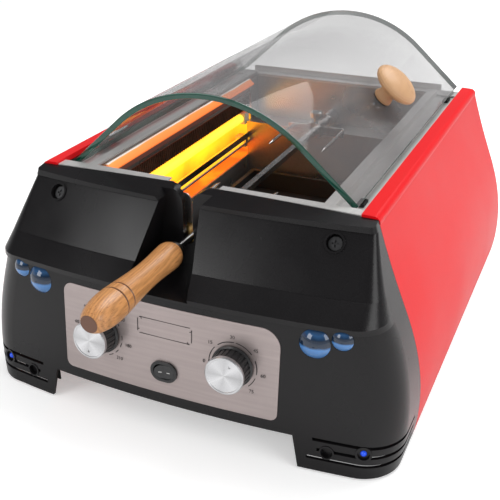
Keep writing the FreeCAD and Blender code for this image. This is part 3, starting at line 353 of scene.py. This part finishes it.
def spun(name, centre, normal):
    """Face-turned aluminium: painted highlight wedges, light and dark, about the axis, and fine rings.
    """
    mat, tree, shader, coord = blank(name)
    place = tree.nodes.new("ShaderNodeMapping")
    place.vector_type = "TEXTURE"
    place.inputs["Location"].default_value = centre
    place.inputs["Rotation"].default_value = normal.to_track_quat("Z", "Y").to_euler()
    wire(tree, coord, "Object", place, "Vector")
    # Painted highlight: light and dark wedges of base colour round the axis stand in for the sheen of
    # the spun face.
    sheen_wedge_angle = tree.nodes.new("ShaderNodeTexGradient")
    sheen_wedge_angle.gradient_type = "RADIAL"
    wire(tree, place, "Vector", sheen_wedge_angle, "Vector")
    stops = [(0.0, 0.56), (0.10, 0.80), (0.22, 0.60), (0.36, 0.74), (0.5, 0.50), (0.62, 0.78),
             (0.74, 0.60), (0.88, 0.72), (1.0, 0.56)]
    tone = ramp(tree, [(p, (v, v, v * 1.02)) for p, v in stops], sheen_wedge_angle, "Fac")
    wire(tree, tone, "Color", shader, "Base Color")
    rings = tree.nodes.new("ShaderNodeTexWave")
    rings.wave_type = "RINGS"
    rings.rings_direction = "Z"
    rings.inputs["Scale"].default_value = 1500.0
    wire(tree, place, "Vector", rings, "Vector")
    relief = tree.nodes.new("ShaderNodeBump")
    relief.inputs["Strength"].default_value = 0.12
    relief.inputs["Distance"].default_value = 0.00002
    wire(tree, rings, "Fac", relief, "Height")
    wire(tree, relief, "Normal", shader, "Normal")
    gloss = tree.nodes.new("ShaderNodeMapRange")
    gloss.inputs["To Min"].default_value = 0.24
    gloss.inputs["To Max"].default_value = 0.34
    wire(tree, rings, "Fac", gloss, "Value")
    wire(tree, gloss, "Result", shader, "Roughness")
    shader.inputs["Metallic"].default_value = 1.0
    return mat


def glow_by_height(name, stops, strength, low, high, metallic=0.0, rough=0.4, mottle=0.25):
    """A glowing surface whose colour changes with height between low and high (m); on the reflector and
    lip the glow is painted reflection.
    """
    mat, tree, shader, coord = blank(name)
    parts = tree.nodes.new("ShaderNodeSeparateXYZ")
    wire(tree, coord, "Object", parts, "Vector")
    noise = tree.nodes.new("ShaderNodeTexNoise")
    noise.inputs["Scale"].default_value = 26.0
    noise.inputs["Detail"].default_value = 2.0
    wire(tree, coord, "Object", noise, "Vector")
    level = tree.nodes.new("ShaderNodeMapRange")
    level.inputs["From Min"].default_value = low
    level.inputs["From Max"].default_value = high
    wire(tree, parts, "Z", level, "Value")
    shift = tree.nodes.new("ShaderNodeMath")
    shift.operation = "MULTIPLY_ADD"
    shift.inputs[1].default_value = mottle
    wire(tree, noise, "Fac", shift, 0)
    wire(tree, level, "Result", shift, 2)
    centre = tree.nodes.new("ShaderNodeMath")
    centre.operation = "SUBTRACT"
    centre.inputs[1].default_value = mottle * 0.5
    wire(tree, shift, 0, centre, 0)
    tone = ramp(tree, stops, centre, 0)
    wire(tree, tone, "Color", shader, "Emission Color")
    wire(tree, tone, "Color", shader, "Base Color")
    shader.inputs["Emission Strength"].default_value = strength
    shader.inputs["Metallic"].default_value = metallic
    shader.inputs["Roughness"].default_value = rough
    return mat


def clear_glass(name, tint):
    """Smoke-tinted pane: clearer face on, greyer at a slant, with a faint haze. The grey that thickens
    at a slant is partly smoke tint, partly a painted reflection of the pale surroundings.
    """
    mat, tree, shader, coord = blank(name)
    haze = tree.nodes.new("ShaderNodeTexNoise")
    haze.inputs["Scale"].default_value = 5.0
    haze.inputs["Detail"].default_value = 3.0
    wire(tree, coord, "Object", haze, "Vector")
    tone = ramp(tree, [(0.3, shade(tint, 0.9)), (0.7, shade(tint, 1.1))], haze, "Fac")
    wire(tree, tone, "Color", shader, "Base Color")
    gloss = tree.nodes.new("ShaderNodeMapRange")
    gloss.inputs["To Min"].default_value = 0.02
    gloss.inputs["To Max"].default_value = 0.07
    wire(tree, haze, "Fac", gloss, "Value")
    wire(tree, gloss, "Result", shader, "Roughness")
    # Painted reflection: the pane's grey grows denser towards a slant, standing in, together with the
    # smoke tint, for the pale veil the surroundings throw on the glass.
    slant = tree.nodes.new("ShaderNodeLayerWeight")
    slant.inputs["Blend"].default_value = 0.5
    body = tree.nodes.new("ShaderNodeMapRange")
    body.inputs["From Min"].default_value = 0.15
    body.inputs["From Max"].default_value = 0.95
    body.inputs["To Min"].default_value = 0.15
    body.inputs["To Max"].default_value = 0.52
    wire(tree, slant, "Facing", body, "Value")
    wire(tree, body, "Result", shader, "Alpha")
    shader.inputs["IOR"].default_value = 1.5
    return mat


def dress(material, *names):
    """Gives CAD nodes a finish."""
    for name in names:
        node = NODES[name]
        if not node.material_slots:
            node.data.materials.append(material)
        for s in node.material_slots:
            s.material = material


# -------------------------------------------------------------- mesh helpers
def start_piece():
    if bpy.context.object and bpy.context.object.mode != "OBJECT":
        bpy.ops.object.mode_set(mode="OBJECT")
    bpy.ops.object.select_all(action="DESELECT")


def name_piece(name):
    ob = bpy.context.object
    ob.name = name
    ob.data.name = name
    return ob


def settle(ob, matrix=None):
    """Puts a piece in place, then leaves its place in its mesh."""
    start_piece()
    if matrix is not None:
        ob.matrix_world = matrix @ ob.matrix_world
    ob.select_set(True)
    bpy.context.view_layer.objects.active = ob
    bpy.ops.object.transform_apply(location=True, rotation=True, scale=True)
    return ob


def join(name, pieces):
    start_piece()
    for p in pieces:
        p.select_set(True)
    bpy.context.view_layer.objects.active = pieces[0]
    if len(pieces) > 1:
        bpy.ops.object.join()
    return name_piece(name)


def outward():
    """In edit mode: one clean closed skin that faces outwards."""
    bpy.ops.mesh.select_all(action="SELECT")
    bpy.ops.mesh.remove_doubles(threshold=1e-6)
    bpy.ops.mesh.normals_make_consistent(inside=False)


def face_matrix(x, z, lift):
    """Frame on the bowed control plate: Z out of it, X level, at millimetres x and z."""
    slope, bow = math.atan(0.10), 1250.0
    front = -28.8 + 0.10 * z
    y = front + (x * x) / (2 * bow)
    n = Vector((x / bow, -1.0, math.tan(slope))).normalized()
    right = Vector((0, 0, 1)).cross(n).normalized()
    up = n.cross(right)
    m = Matrix((right, up, n)).transposed().to_4x4()
    m.translation = at(x, y, z) + n * lift
    return m


def ring_mark(r, width, start, end, height):
    """Printed arc: a small section spun about Z. Angles in degrees from 3 o'clock."""
    start_piece()
    bpy.ops.mesh.primitive_plane_add(size=1.0, location=(r, 0, height / 2),
                                     rotation=(math.pi / 2, 0, 0))
    ob = bpy.context.object
    ob.scale = (width, height, 1.0)
    settle(ob)
    ob.matrix_world = Matrix.Rotation(math.radians(start), 4, "Z")
    settle(ob)
    bpy.ops.object.mode_set(mode="EDIT")
    bpy.ops.mesh.select_all(action="SELECT")
    bpy.ops.mesh.spin(steps=max(2, int(abs(end - start) / 5)), angle=math.radians(end - start),
                      center=(0, 0, 0), axis=(0, 0, 1))
    outward()
    bpy.ops.object.mode_set(mode="OBJECT")
    return ob


def number_mark(text, x, y, size, height):
    start_piece()
    bpy.ops.object.text_add(location=(x, y, height / 2))
    ob = bpy.context.object
    ob.data.body = text
    ob.data.size = size
    ob.data.align_x = "CENTER"
    ob.data.align_y = "CENTER"
    ob.data.extrude = height / 2
    bpy.ops.object.convert(target="MESH")
    settle(bpy.context.object)
    return bpy.context.object


def line_mark(x0, y0, x1, y1, width, height):
    start_piece()
    a, b = Vector((x0, y0, 0)), Vector((x1, y1, 0))
    mid, run = (a + b) / 2, b - a
    bpy.ops.mesh.primitive_cube_add(size=1.0, location=(mid.x, mid.y, height / 2))
    ob = bpy.context.object
    ob.scale = (run.length + width, width, height)
    ob.rotation_euler = (0, 0, math.atan2(run.y, run.x))
    return settle(ob)


# ----------------------------------------------------------------- operators
class OVEN_OT_lid_glass(bpy.types.Operator):
    """Bent glass of the lid: flank, crown and flank swept in one pane, edges ground"""
    bl_idname = "oven.lid_glass"
    bl_label = "Lid glass"

    def execute(self, context):
        low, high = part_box("lid_glass")
        angle, radius, thick = math.radians(42.0), 0.125, 0.005
        centre_z, half = 0.1427, 0.130
        along = Vector((math.cos(angle), 0, math.sin(angle)))
        out = Vector((-math.sin(angle), 0, math.cos(angle)))
        tangent = Vector((-radius * math.sin(angle), 0, centre_z + radius * math.cos(angle)))
        run = (half + tangent.x) / math.cos(angle)
        middle = tangent - along * run - out * thick / 2
        start_piece()
        bpy.ops.mesh.primitive_plane_add(size=1.0)
        ob = name_piece("bent_glass")
        side = Vector((0, 1, 0))
        m = Matrix((out * thick, side * (high[1] - low[1]), along)).transposed().to_4x4()
        m.translation = Vector((middle.x, (low[1] + high[1]) / 2, middle.z))
        settle(ob, m)
        bpy.ops.object.mode_set(mode="EDIT")
        bpy.ops.mesh.select_all(action="SELECT")
        bpy.ops.mesh.extrude_region_move(TRANSFORM_OT_translate={"value": along * run})
        bpy.ops.mesh.spin(steps=sizes().arc_steps, angle=-2 * angle, center=(0, 0, centre_z),
                          axis=(0, 1, 0))
        down = Vector((along.x, 0, -along.z))
        bpy.ops.mesh.extrude_region_move(TRANSFORM_OT_translate={"value": down * run})
        outward()
        bpy.ops.object.mode_set(mode="OBJECT")
        # hole for the screw of the knob
        screw_low, screw_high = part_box("lid_knob_washer")
        hole_at = (Vector(screw_low) + Vector(screw_high)) / 2
        start_piece()
        hole_lean, hole_radius = math.pi / 2 - 0.8378, 0.0029
        bpy.ops.mesh.primitive_cylinder_add(vertices=32, radius=hole_radius, depth=0.03,
                                            location=hole_at, rotation=(0, hole_lean, 0))
        drill = settle(bpy.context.object)
        cut = ob.modifiers.new("hole", "BOOLEAN")
        cut.operation, cut.object = "DIFFERENCE", drill
        start_piece()
        ob.select_set(True)
        context.view_layer.objects.active = ob
        bpy.ops.object.modifier_apply(modifier="hole")
        bpy.data.objects.remove(drill)
        edge = ob.modifiers.new("ground edge", "BEVEL")
        edge.width, edge.segments, edge.limit_method = sizes().glass_bevel, 2, "ANGLE"
        edge.angle_limit = math.radians(60)
        bpy.ops.object.modifier_apply(modifier="ground edge")
        ob.data.materials.append(clear_glass("lid_pane", tuple(colours().glass)))
        ob.data.materials.append(finish("glass_edge", (0.0, 0.055, 0.034), rough=(0.06, 0.12),
                                        spread=0.35, scale=220, cloud=22, coat=0.6))
        y0, y1 = low[1] + 0.0009, high[1] - 0.0009
        for f in ob.data.polygons:
            c = f.center
            end = c.y < y0 or c.y > y1
            foot = c.z < middle.z + 0.0014 and abs(f.normal.dot(along)) > 0.5 and c.x < 0
            foot = foot or (c.z < middle.z + 0.0014 and abs(f.normal.dot(down)) > 0.5 and c.x > 0)
            f.material_index = 1 if end or foot else 0
        bpy.ops.object.shade_smooth_by_angle(angle=math.radians(40))
        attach(ob, "lid")
        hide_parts("lid_glass")
        return {"FINISHED"}


class OVEN_OT_dial_scales(bpy.types.Operator):
    """Printed rings, ticks and numbers round both dials, and a plain frame between them"""
    bl_idname = "oven.dial_scales"
    bl_label = "Dial scales"

    def execute(self, context):
        h, r = sizes().print_height, sizes().ring_radius
        ink = finish("panel_ink", (0.012, 0.011, 0.012), rough=(0.45, 0.6), spread=0.3)
        scales = {
            "temperature_scale": (-60.0, [("60", 172), ("90", 128), ("120", 88), ("150", 40),
                                          ("180", -12), ("210", -48)],
                                  [(166, 150), (144, 134), (120, 96), (80, 50), (30, 0), (-6, -18),
                                   (-26, -38), (-48, -60), (-70, -84)]),
            "timer_scale": (60.0, [("0", 183), ("15", 140), ("30", 92), ("45", 42), ("60", -8),
                                   ("75", -50)],
                            [(178, 174), (168, 162), (156, 150), (140, 96), (88, 46), (40, -4),
                             (-10, -44), (-48, -76)]),
        }
        for name, (x, numbers, arcs) in scales.items():
            marks = [ring_mark(r, 0.0007, a, b, h) for a, b in arcs]
            for text, a in numbers:
                t = math.radians(a)
                reach = r + 0.0042 + 0.0012 * abs(math.cos(t)) * (len(text) - 1)
                marks.append(number_mark(text, reach * math.cos(t), reach * math.sin(t), 0.0042, h))
                if text == "0":
                    marks.append(ring_mark(r, 0.0011, a - 1.5, a + 1.5, h))
            ob = join(name, marks)
            settle(ob, face_matrix(x, 80.0, 0.00045))
            ob.data.materials.clear()
            ob.data.materials.append(ink)
            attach(ob, "casing")
        # plain frame left empty in the middle of the plate
        w, d, c, line_width = 0.0245, 0.0072, 0.0018, 0.0005
        ends = [(-w + c, d, w - c, d), (-w + c, -d, w - c, -d), (-w, -d + c, -w, d - c),
                (w, -d + c, w, d - c)]
        lines = [line_mark(*e, line_width, h) for e in ends]
        for sx, sy, a in ((1, 1, 0), (-1, 1, 90), (-1, -1, 180), (1, -1, 270)):
            arc = ring_mark(c, line_width, a, a + 90, h)
            lines.append(settle(arc, Matrix.Translation((sx * (w - c), sy * (d - c), 0))))
        ob = join("empty_frame", lines)
        settle(ob, face_matrix(0.0, 97.0, 0.00045))
        ob.data.materials.clear()
        ob.data.materials.append(ink)
        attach(ob, "casing")
        return {"FINISHED"}


class OVEN_OT_switch_marks(bpy.types.Operator):
    """A short white dash on each half of the rocker"""
    bl_idname = "oven.switch_marks"
    bl_label = "Switch marks"

    def execute(self, context):
        h = sizes().print_height
        white = finish("mark_white", (0.62, 0.62, 0.60), rough=(0.4, 0.5), spread=0.1)
        dashes = []
        for x, lift, lean in ((-0.00275, 0.00259, 16.7), (0.00418, 0.00162, 0.7)):
            dash = line_mark(-0.0011, 0, 0.0011, 0, 0.0006, h)
            place = Matrix.Translation((x, 0, lift)) @ Matrix.Rotation(math.radians(lean), 4, "Y")
            dashes.append(settle(dash, face_matrix(0.0, 59.7, 0.0) @ place))
        ob = join("switch_dashes", dashes)
        ob.data.materials.append(white)
        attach(ob, "rocker")
        return {"FINISHED"}


class OVEN_OT_vent_shade_sheets(bpy.types.Operator):
    """Dark sheet behind the vents of each lower corner, closing the view through them: painted shade
    standing in for the dark inside of the slots.
    """
    bl_idname = "oven.vent_baffles"
    bl_label = "Vent shade sheets"

    def execute(self, context):
        # Painted shade: a black sheet stands in for the shade inside the vent slots.
        dark = finish("vent_shade_black", (0.006, 0.006, 0.006), rough=(0.7, 0.85), spread=0.2,
                      scale=900, bump=0.1)
        path = [(117, -11), (150, -8.5), (168, -1), (178, 12), (182.5, 28), (183.5, 50)]
        foot, tall, sheet = 10.5, 0.0245, 0.0012
        for side in (1, -1):
            start_piece()
            bpy.ops.mesh.primitive_plane_add(size=1.0)
            ob = name_piece("vent_shade_sheet_" + ("right" if side > 0 else "left"))
            a, b = (at(side * x, y, foot) for x, y in path[:2])
            run = b - a
            m = Matrix((run, Vector((0, 0, tall)), run.normalized().cross(Vector((0, 0, 1)))))
            m = m.transposed().to_4x4()
            m.translation = (a + b) / 2 + Vector((0, 0, tall / 2))
            settle(ob, m)
            bpy.ops.object.mode_set(mode="EDIT")
            bpy.ops.mesh.select_mode(type="EDGE")
            last = b
            for x, y in path[2:]:
                step = at(side * x, y, foot)
                bpy.ops.mesh.select_all(action="DESELECT")
                bpy.ops.object.mode_set(mode="OBJECT")
                for e in ob.data.edges:
                    ends = [ob.data.vertices[i].co for i in e.vertices]
                    e.select = all((Vector((v.x, v.y)) - Vector((last.x, last.y))).length < 1e-5
                                   for v in ends)
                bpy.ops.object.mode_set(mode="EDIT")
                bpy.ops.mesh.extrude_region_move(TRANSFORM_OT_translate={"value": step - last})
                last = step
            bpy.ops.mesh.select_mode(type="VERT")
            outward()
            bpy.ops.object.mode_set(mode="OBJECT")
            wall = ob.modifiers.new("wall", "SOLIDIFY")
            wall.thickness = sheet
            bpy.ops.object.modifier_apply(modifier="wall")
            bpy.ops.object.mode_set(mode="EDIT")
            outward()
            bpy.ops.object.mode_set(mode="OBJECT")
            ob.data.materials.append(dark)
            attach(ob, "casing")
        return {"FINISHED"}


class OVEN_OT_casing_finish(bpy.types.Operator):
    """Lacquer, plastic and sheet metal of the casing"""
    bl_idname = "oven.casing_finish"
    bl_label = "Casing finish"

    def execute(self, context):
        c = colours()
        red = finish("red_lacquer", tuple(c.red), rough=(0.34, 0.42), spread=0.03, scale=900,
                     cloud=9, bump=0.02, bump_scale=0.00002, sheen=0.16)
        dress(red, "side_panel_left", "side_panel_right")
        black = finish("front_plastic", tuple(c.moulding), rough=(0.20, 0.30), spread=0.18,
                       scale=1500, cloud=16, bump=0.05, bump_scale=0.00002, sheen=0.30)
        dress(black, "front_moulding", "hinge_wall")
        dress(finish("rear_black", (0.02, 0.02, 0.021), rough=(0.42, 0.55), spread=0.2, scale=1300,
                     bump=0.25, bump_scale=0.00006), "rear_panel")
        dress(finish("moulded_black", (0.014, 0.014, 0.015), rough=(0.40, 0.52), spread=0.25,
                     scale=1700, bump=0.2), "power_inlet")
        dress(finish("zinc_sheet", (0.46, 0.47, 0.49), 0.9, (0.34, 0.5), 0.14, 60, cloud=30,
                     bump=0.05), "base_plate", "liner_supports")
        dress(finish("foot_rubber", (0.012, 0.012, 0.012), rough=(0.7, 0.85), spread=0.3,
                     scale=1200, bump=0.3), "rubber_feet", "lid_pads", "lid_knob_washer")
        dress(finish("front_screw_steel", (0.07, 0.07, 0.072), 0.8, (0.35, 0.5), 0.2, 500),
              "front_screws")
        return {"FINISHED"}


class OVEN_OT_controls_finish(bpy.types.Operator):
    """Brushed plate, dials, switch, lamps and what stands behind them"""
    bl_idname = "oven.controls_finish"
    bl_label = "Controls finish"

    def execute(self, context):
        c = colours()
        dress(finish("brushed_plate", tuple(c.plate), 0.75, (0.34, 0.44), 0.10, 260,
                     stretch=(0.06, 1.0, 1.6), cloud=16, bump=0.12, bump_scale=0.00003),
              "control_plate")
        dark = finish("dial_black", (0.022, 0.022, 0.023), rough=(0.28, 0.42), spread=0.25,
                      scale=1500, bump=0.15)
        dress(dark, "temperature_knob", "timer_knob")
        # Dial caps get spun rings and painted highlight wedges.
        for side, name in ((-60.0, "temperature_cap"), (60.0, "timer_cap")):
            m = face_matrix(side, 80.0, 0.0186)
            dress(spun("spun_" + name, m.translation, m.col[2].to_3d()), name)
        dress(finish("switch_frame", (0.018, 0.018, 0.019), rough=(0.3, 0.4), spread=0.2,
                     scale=1500), "mode_switch")
        dress(finish("rocker_black", (0.010, 0.010, 0.011), rough=(0.16, 0.24), spread=0.2,
                     scale=900, coat=0.4), "mode_rocker")
        tint = tuple(c.lens)
        # Lens finishes with painted reflection, banded by height about each lens middle.
        for kind, middle, radius in (("large", 0.112, 0.012), ("small", 0.118, 0.0082)):
            dress(lens_painted_glint("lens_blue_painted_glint_" + kind, tint, middle, radius), "lens_" + kind)
        led = glow_by_height("blue_diode", [(0.0, (0.0, 0.02, 0.25)), (1.0, (0.02, 0.10, 0.9))], 0.5,
                     0.02, 0.03, rough=0.15)
        dress(led, "vent_lights")
        plated = finish("plated_steel", (0.62, 0.62, 0.63), 1.0, (0.22, 0.34), 0.08, 700)
        dress(plated, "temperature_shaft", "timer_shaft", "timer_body", "spit_motor",
              "drive_socket", "hinge_brackets", "hinge_pins", "lid_hinges", "lid_knob_screw")
        dress(finish("cream_ceramic", (0.62, 0.58, 0.49), rough=(0.6, 0.75), spread=0.12,
                     scale=600, bump=0.3), "thermostat_body", "terminal_block", "heater_holders")
        return {"FINISHED"}


class OVEN_OT_chamber_finish(bpy.types.Operator):
    """Bright sheet of the chamber, its frame and the coated tray"""
    bl_idname = "oven.chamber_finish"
    bl_label = "Chamber finish"

    def execute(self, context):
        c = colours()
        # Lit and shaded copies of the chamber steel: the frame is painted lighter (x1.2) for the light
        # it catches from above, the liner painted darker (x0.85) for the shade inside the chamber.
        dress(finish("frame_steel_lit", shade(tuple(c.steel), 1.2), 0.55, (0.32, 0.42), 0.08, 300,
                     stretch=(1, 0.05, 1), cloud=10, bump=0.08), "top_frame")
        dress(finish("liner_steel_shaded", shade(tuple(c.steel), 0.85), 0.9, (0.24, 0.36), 0.10, 300,
                     stretch=(1, 0.05, 1), cloud=12, bump=0.10), "chamber_liner")
        dress(finish("tray_coating", (0.022, 0.021, 0.02), rough=(0.42, 0.6), spread=0.4,
                     scale=1400, cloud=25, bump=0.3), "drip_tray")
        dress(finish("spit_steel", (0.66, 0.65, 0.64), 1.0, (0.18, 0.30), 0.10, 800), "spit_shaft",
              "fork_front", "fork_rear", "fork_screw_front", "fork_screw_rear", "heater_guard")
        dress(finish("bearing_brass", (0.60, 0.40, 0.14), 1.0, (0.28, 0.4), 0.12, 500),
              "spit_bearing")
        return {"FINISHED"}


class OVEN_OT_heater_finish(bpy.types.Operator):
    """Lit lower tubes, the unlit upper winding, and the reflector and lip round them with the glow
    painted on as reflection
    """
    bl_idname = "oven.heater_finish"
    bl_label = "Heater finish"

    def execute(self, context):
        glow = tuple(colours().glow)
        # Painted reflection: the heater's glow painted on the reflector as bright bands at mid-height,
        # with painted shade darker below and above.
        dress(glow_by_height("reflector_painted_glow",
                     [(0.0, (0.55, 0.08, 0.01)), (0.15, (1.0, 0.30, 0.015)),
                      (0.42, (1.0, 0.60, 0.02)), (0.62, (1.0, 0.42, 0.015)),
                      (0.78, (0.72, 0.12, 0.012)), (1.0, (0.15, 0.03, 0.012))],
                     1.0, 0.098, 0.172, rough=0.3, mottle=0.5), "heater_reflector")
        dress(glow_by_height("lit_tubes", [(0.0, (1.0, 0.48, 0.02)), (1.0, (1.0, 0.72, 0.06))], 1.25,
                     0.10, 0.15, mottle=0.9), "heater_tubes")
        dress(glow_by_height("lit_coils", [(0.0, shade(glow, 1.0)), (1.0, (1.0, 0.8, 0.3))], 3.0, 0.10,
                     0.15), "heater_coils")
        # Painted reflection of the glow on the lip, dark below and orange above, with a pale painted
        # highlight at its top edge.
        dress(glow_by_height("lip_painted_glow", [(0.0, (0.10, 0.045, 0.035)), (0.45, (0.12, 0.05, 0.04)),
                                  (0.62, (1.0, 0.22, 0.04)), (0.95, (1.0, 0.30, 0.07)),
                                  (1.0, (0.8, 0.75, 0.7))], 0.6, 0.176, 0.1908, metallic=0.4,
                     mottle=0.1), "heater_lip")
        dress(finish("element_wire", (0.10, 0.05, 0.03), 0.5, (0.4, 0.6), 0.5, 500,
                     cloud=40, bump=0.3), "heater_winding")
        return {"FINISHED"}


class OVEN_OT_wood_finish(bpy.types.Operator):
    """Turned wood of the spit handle and the lid knob, with the handle's metal ferrule"""
    bl_idname = "oven.wood_finish"
    bl_label = "Wood finish"

    def execute(self, context):
        c = colours()
        low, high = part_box("spit_handle")
        centre = (Vector(low) + Vector(high)) / 2
        dress(timber("handle_wood", tuple(c.wood), centre + Vector((0.011, 0, -0.006)), (0, 0, 0.03),
                     (1.0, 0.05, 1.0), 150.0, 0.28, end=low[1] + 0.0003,
                     grooves=(low[1] + 0.032, low[1] + 0.041)), "spit_handle")
        low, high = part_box("lid_knob")
        centre = (Vector(low) + Vector(high)) / 2
        dress(timber("knob_wood", tuple(c.pale_wood), centre, (0, 0.73, 0.2), (1.0, 0.08, 1.0),
                     190.0, 0.42), "lid_knob")
        dress(finish("ferrule_metal", (0.09, 0.08, 0.075), 0.9, (0.3, 0.45), 0.2, 600),
              "handle_ferrule")
        return {"FINISHED"}


class OVEN_OT_stage(bpy.types.Operator):
    """Floor, lamps, world light and camera"""
    bl_idname = "oven.stage"
    bl_label = "Stage"

    def execute(self, context):
        scene = context.scene
        start_piece()
        bpy.ops.mesh.primitive_plane_add(size=14.0, location=(0, 0, 0))
        floor = name_piece("studio_floor")
        mat, tree, shader, coord = blank("floor_white")
        shader.inputs["Base Color"].default_value = (0.86, 0.86, 0.86, 1.0)
        shader.inputs["Roughness"].default_value = 0.9
        path = tree.nodes.new("ShaderNodeLightPath")
        glow = tree.nodes.new("ShaderNodeEmission")
        glow.inputs["Strength"].default_value = 0.36
        mix, add = tree.nodes.new("ShaderNodeMixShader"), tree.nodes.new("ShaderNodeAddShader")
        out = [n for n in tree.nodes if n.type == "OUTPUT_MATERIAL"][0]
        wire(tree, shader, "BSDF", add, 0)
        wire(tree, glow, "Emission", add, 1)
        wire(tree, path, "Is Camera Ray", mix, "Fac")
        wire(tree, shader, "BSDF", mix, 1)
        wire(tree, add, "Shader", mix, 2)
        wire(tree, mix, "Shader", out, "Surface")
        floor.data.materials.append(mat)

        world = bpy.data.worlds.new("studio")
        scene.world = world
        world.use_nodes = True
        tree = world.node_tree
        tree.nodes.clear()
        out = tree.nodes.new("ShaderNodeOutputWorld")
        soft, seen = tree.nodes.new("ShaderNodeBackground"), tree.nodes.new("ShaderNodeBackground")
        soft.inputs["Color"].default_value = (1.0, 1.0, 1.0, 1.0)
        soft.inputs["Strength"].default_value = 0.62
        path = tree.nodes.new("ShaderNodeLightPath")
        coord = tree.nodes.new("ShaderNodeTexCoord")
        parts = tree.nodes.new("ShaderNodeSeparateXYZ")
        wire(tree, coord, "Generated", parts, "Vector")
        sky = ramp(tree, [(0.0, (0.8, 0.8, 0.8)), (0.10, (0.62, 0.62, 0.63)),
                          (0.32, (0.10, 0.10, 0.105)), (0.75, (0.16, 0.16, 0.165)),
                          (1.0, (0.5, 0.5, 0.5))], parts, "Z")
        shiny = tree.nodes.new("ShaderNodeBackground")
        wire(tree, sky, "Color", shiny, "Color")
        white = tree.nodes.new("ShaderNodeMath")
        white.operation = "MAXIMUM"
        wire(tree, path, "Is Camera Ray", white, 0)
        wire(tree, path, "Is Transmission Ray", white, 1)
        first, second = tree.nodes.new("ShaderNodeMixShader"), tree.nodes.new("ShaderNodeMixShader")
        wire(tree, path, "Is Glossy Ray", first, "Fac")
        wire(tree, soft, "Background", first, 1)
        wire(tree, shiny, "Background", first, 2)
        wire(tree, white, 0, second, "Fac")
        wire(tree, first, "Shader", second, 1)
        wire(tree, seen, "Background", second, 2)
        seen.inputs["Color"].default_value = (1.0, 1.0, 1.0, 1.0)
        wire(tree, second, "Shader", out, "Surface")

        for name, place, aim, size, power in (
                ("key_lamp", (0.35, 0.75, 1.45), (0, 0.0, 0.1), 1.0, 19.0),
                ("front_lamp", (-0.9, -1.5, 0.9), (0, -0.1, 0.1), 0.8, 9.0),
                ("side_lamp", (1.6, -0.6, 0.9), (0.1, 0.0, 0.1), 0.9, 9.0)):
            lamp = bpy.data.lights.new(name, "AREA")
            lamp.size, lamp.energy = size, power
            ob = bpy.data.objects.new(name, lamp)
            scene.collection.objects.link(ob)
            ob.location = place
            ob.rotation_euler = (Vector(place) - Vector(aim)).to_track_quat("Z", "Y").to_euler()

        cam = bpy.data.cameras.new("camera")
        cam.sensor_width, cam.lens = 36.0, 59.85
        cam.clip_start, cam.clip_end = 0.01, 50.0
        ob = bpy.data.objects.new("camera", cam)
        scene.collection.objects.link(ob)
        yaw, pitch, roll = (math.radians(a) for a in (-24.438, 26.8147, -0.4609))
        f = Vector((math.sin(yaw) * math.cos(pitch), math.cos(yaw) * math.cos(pitch),
                    -math.sin(pitch)))
        r = f.cross(Vector((0, 0, 1))).normalized()
        u = r.cross(f)
        r, u = (math.cos(roll) * r + math.sin(roll) * u, -math.sin(roll) * r + math.cos(roll) * u)
        m = Matrix((r, u, -f)).transposed().to_4x4()
        m.translation = at(294.7, -501.8, 451.5)
        ob.matrix_world = m
        scene.camera = ob
        scene.view_settings.view_transform = "Standard"
        return {"FINISHED"}


# --------------------------------------------------------------------- panel
OPERATORS = (OVEN_OT_lid_glass, OVEN_OT_dial_scales, OVEN_OT_switch_marks,
             OVEN_OT_vent_shade_sheets, OVEN_OT_casing_finish,
             OVEN_OT_controls_finish, OVEN_OT_chamber_finish, OVEN_OT_heater_finish,
             OVEN_OT_wood_finish, OVEN_OT_stage)


class OVEN_PT_panel(bpy.types.Panel):
    """Sizes, colours and building steps of the oven"""
    bl_idname = "OVEN_PT_panel"
    bl_label = "Rotisserie oven"
    bl_space_type = "VIEW_3D"
    bl_region_type = "UI"
    bl_category = "Oven"

    def draw(self, context):
        for group in (context.scene.oven_sizes, context.scene.oven_colours):
            for name in group.__annotations__:
                self.layout.prop(group, name)
        for op in OPERATORS:
            self.layout.operator(op.bl_idname)


CLASSES = (OvenSizes, OvenColours) + OPERATORS + (OVEN_PT_panel,)


def register():
    for cls in CLASSES:
        bpy.utils.register_class(cls)
    bpy.types.Scene.oven_sizes = bpy.props.PointerProperty(type=OvenSizes)
    bpy.types.Scene.oven_colours = bpy.props.PointerProperty(type=OvenColours)


def unregister():
    del bpy.types.Scene.oven_sizes
    del bpy.types.Scene.oven_colours
    for cls in reversed(CLASSES):
        bpy.utils.unregister_class(cls)


def main():
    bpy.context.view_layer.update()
    register()
    for op in OPERATORS:
        group, name = op.bl_idname.split(".")
        getattr(getattr(bpy.ops, group), name)()


if __name__ == "__main__":
    main()
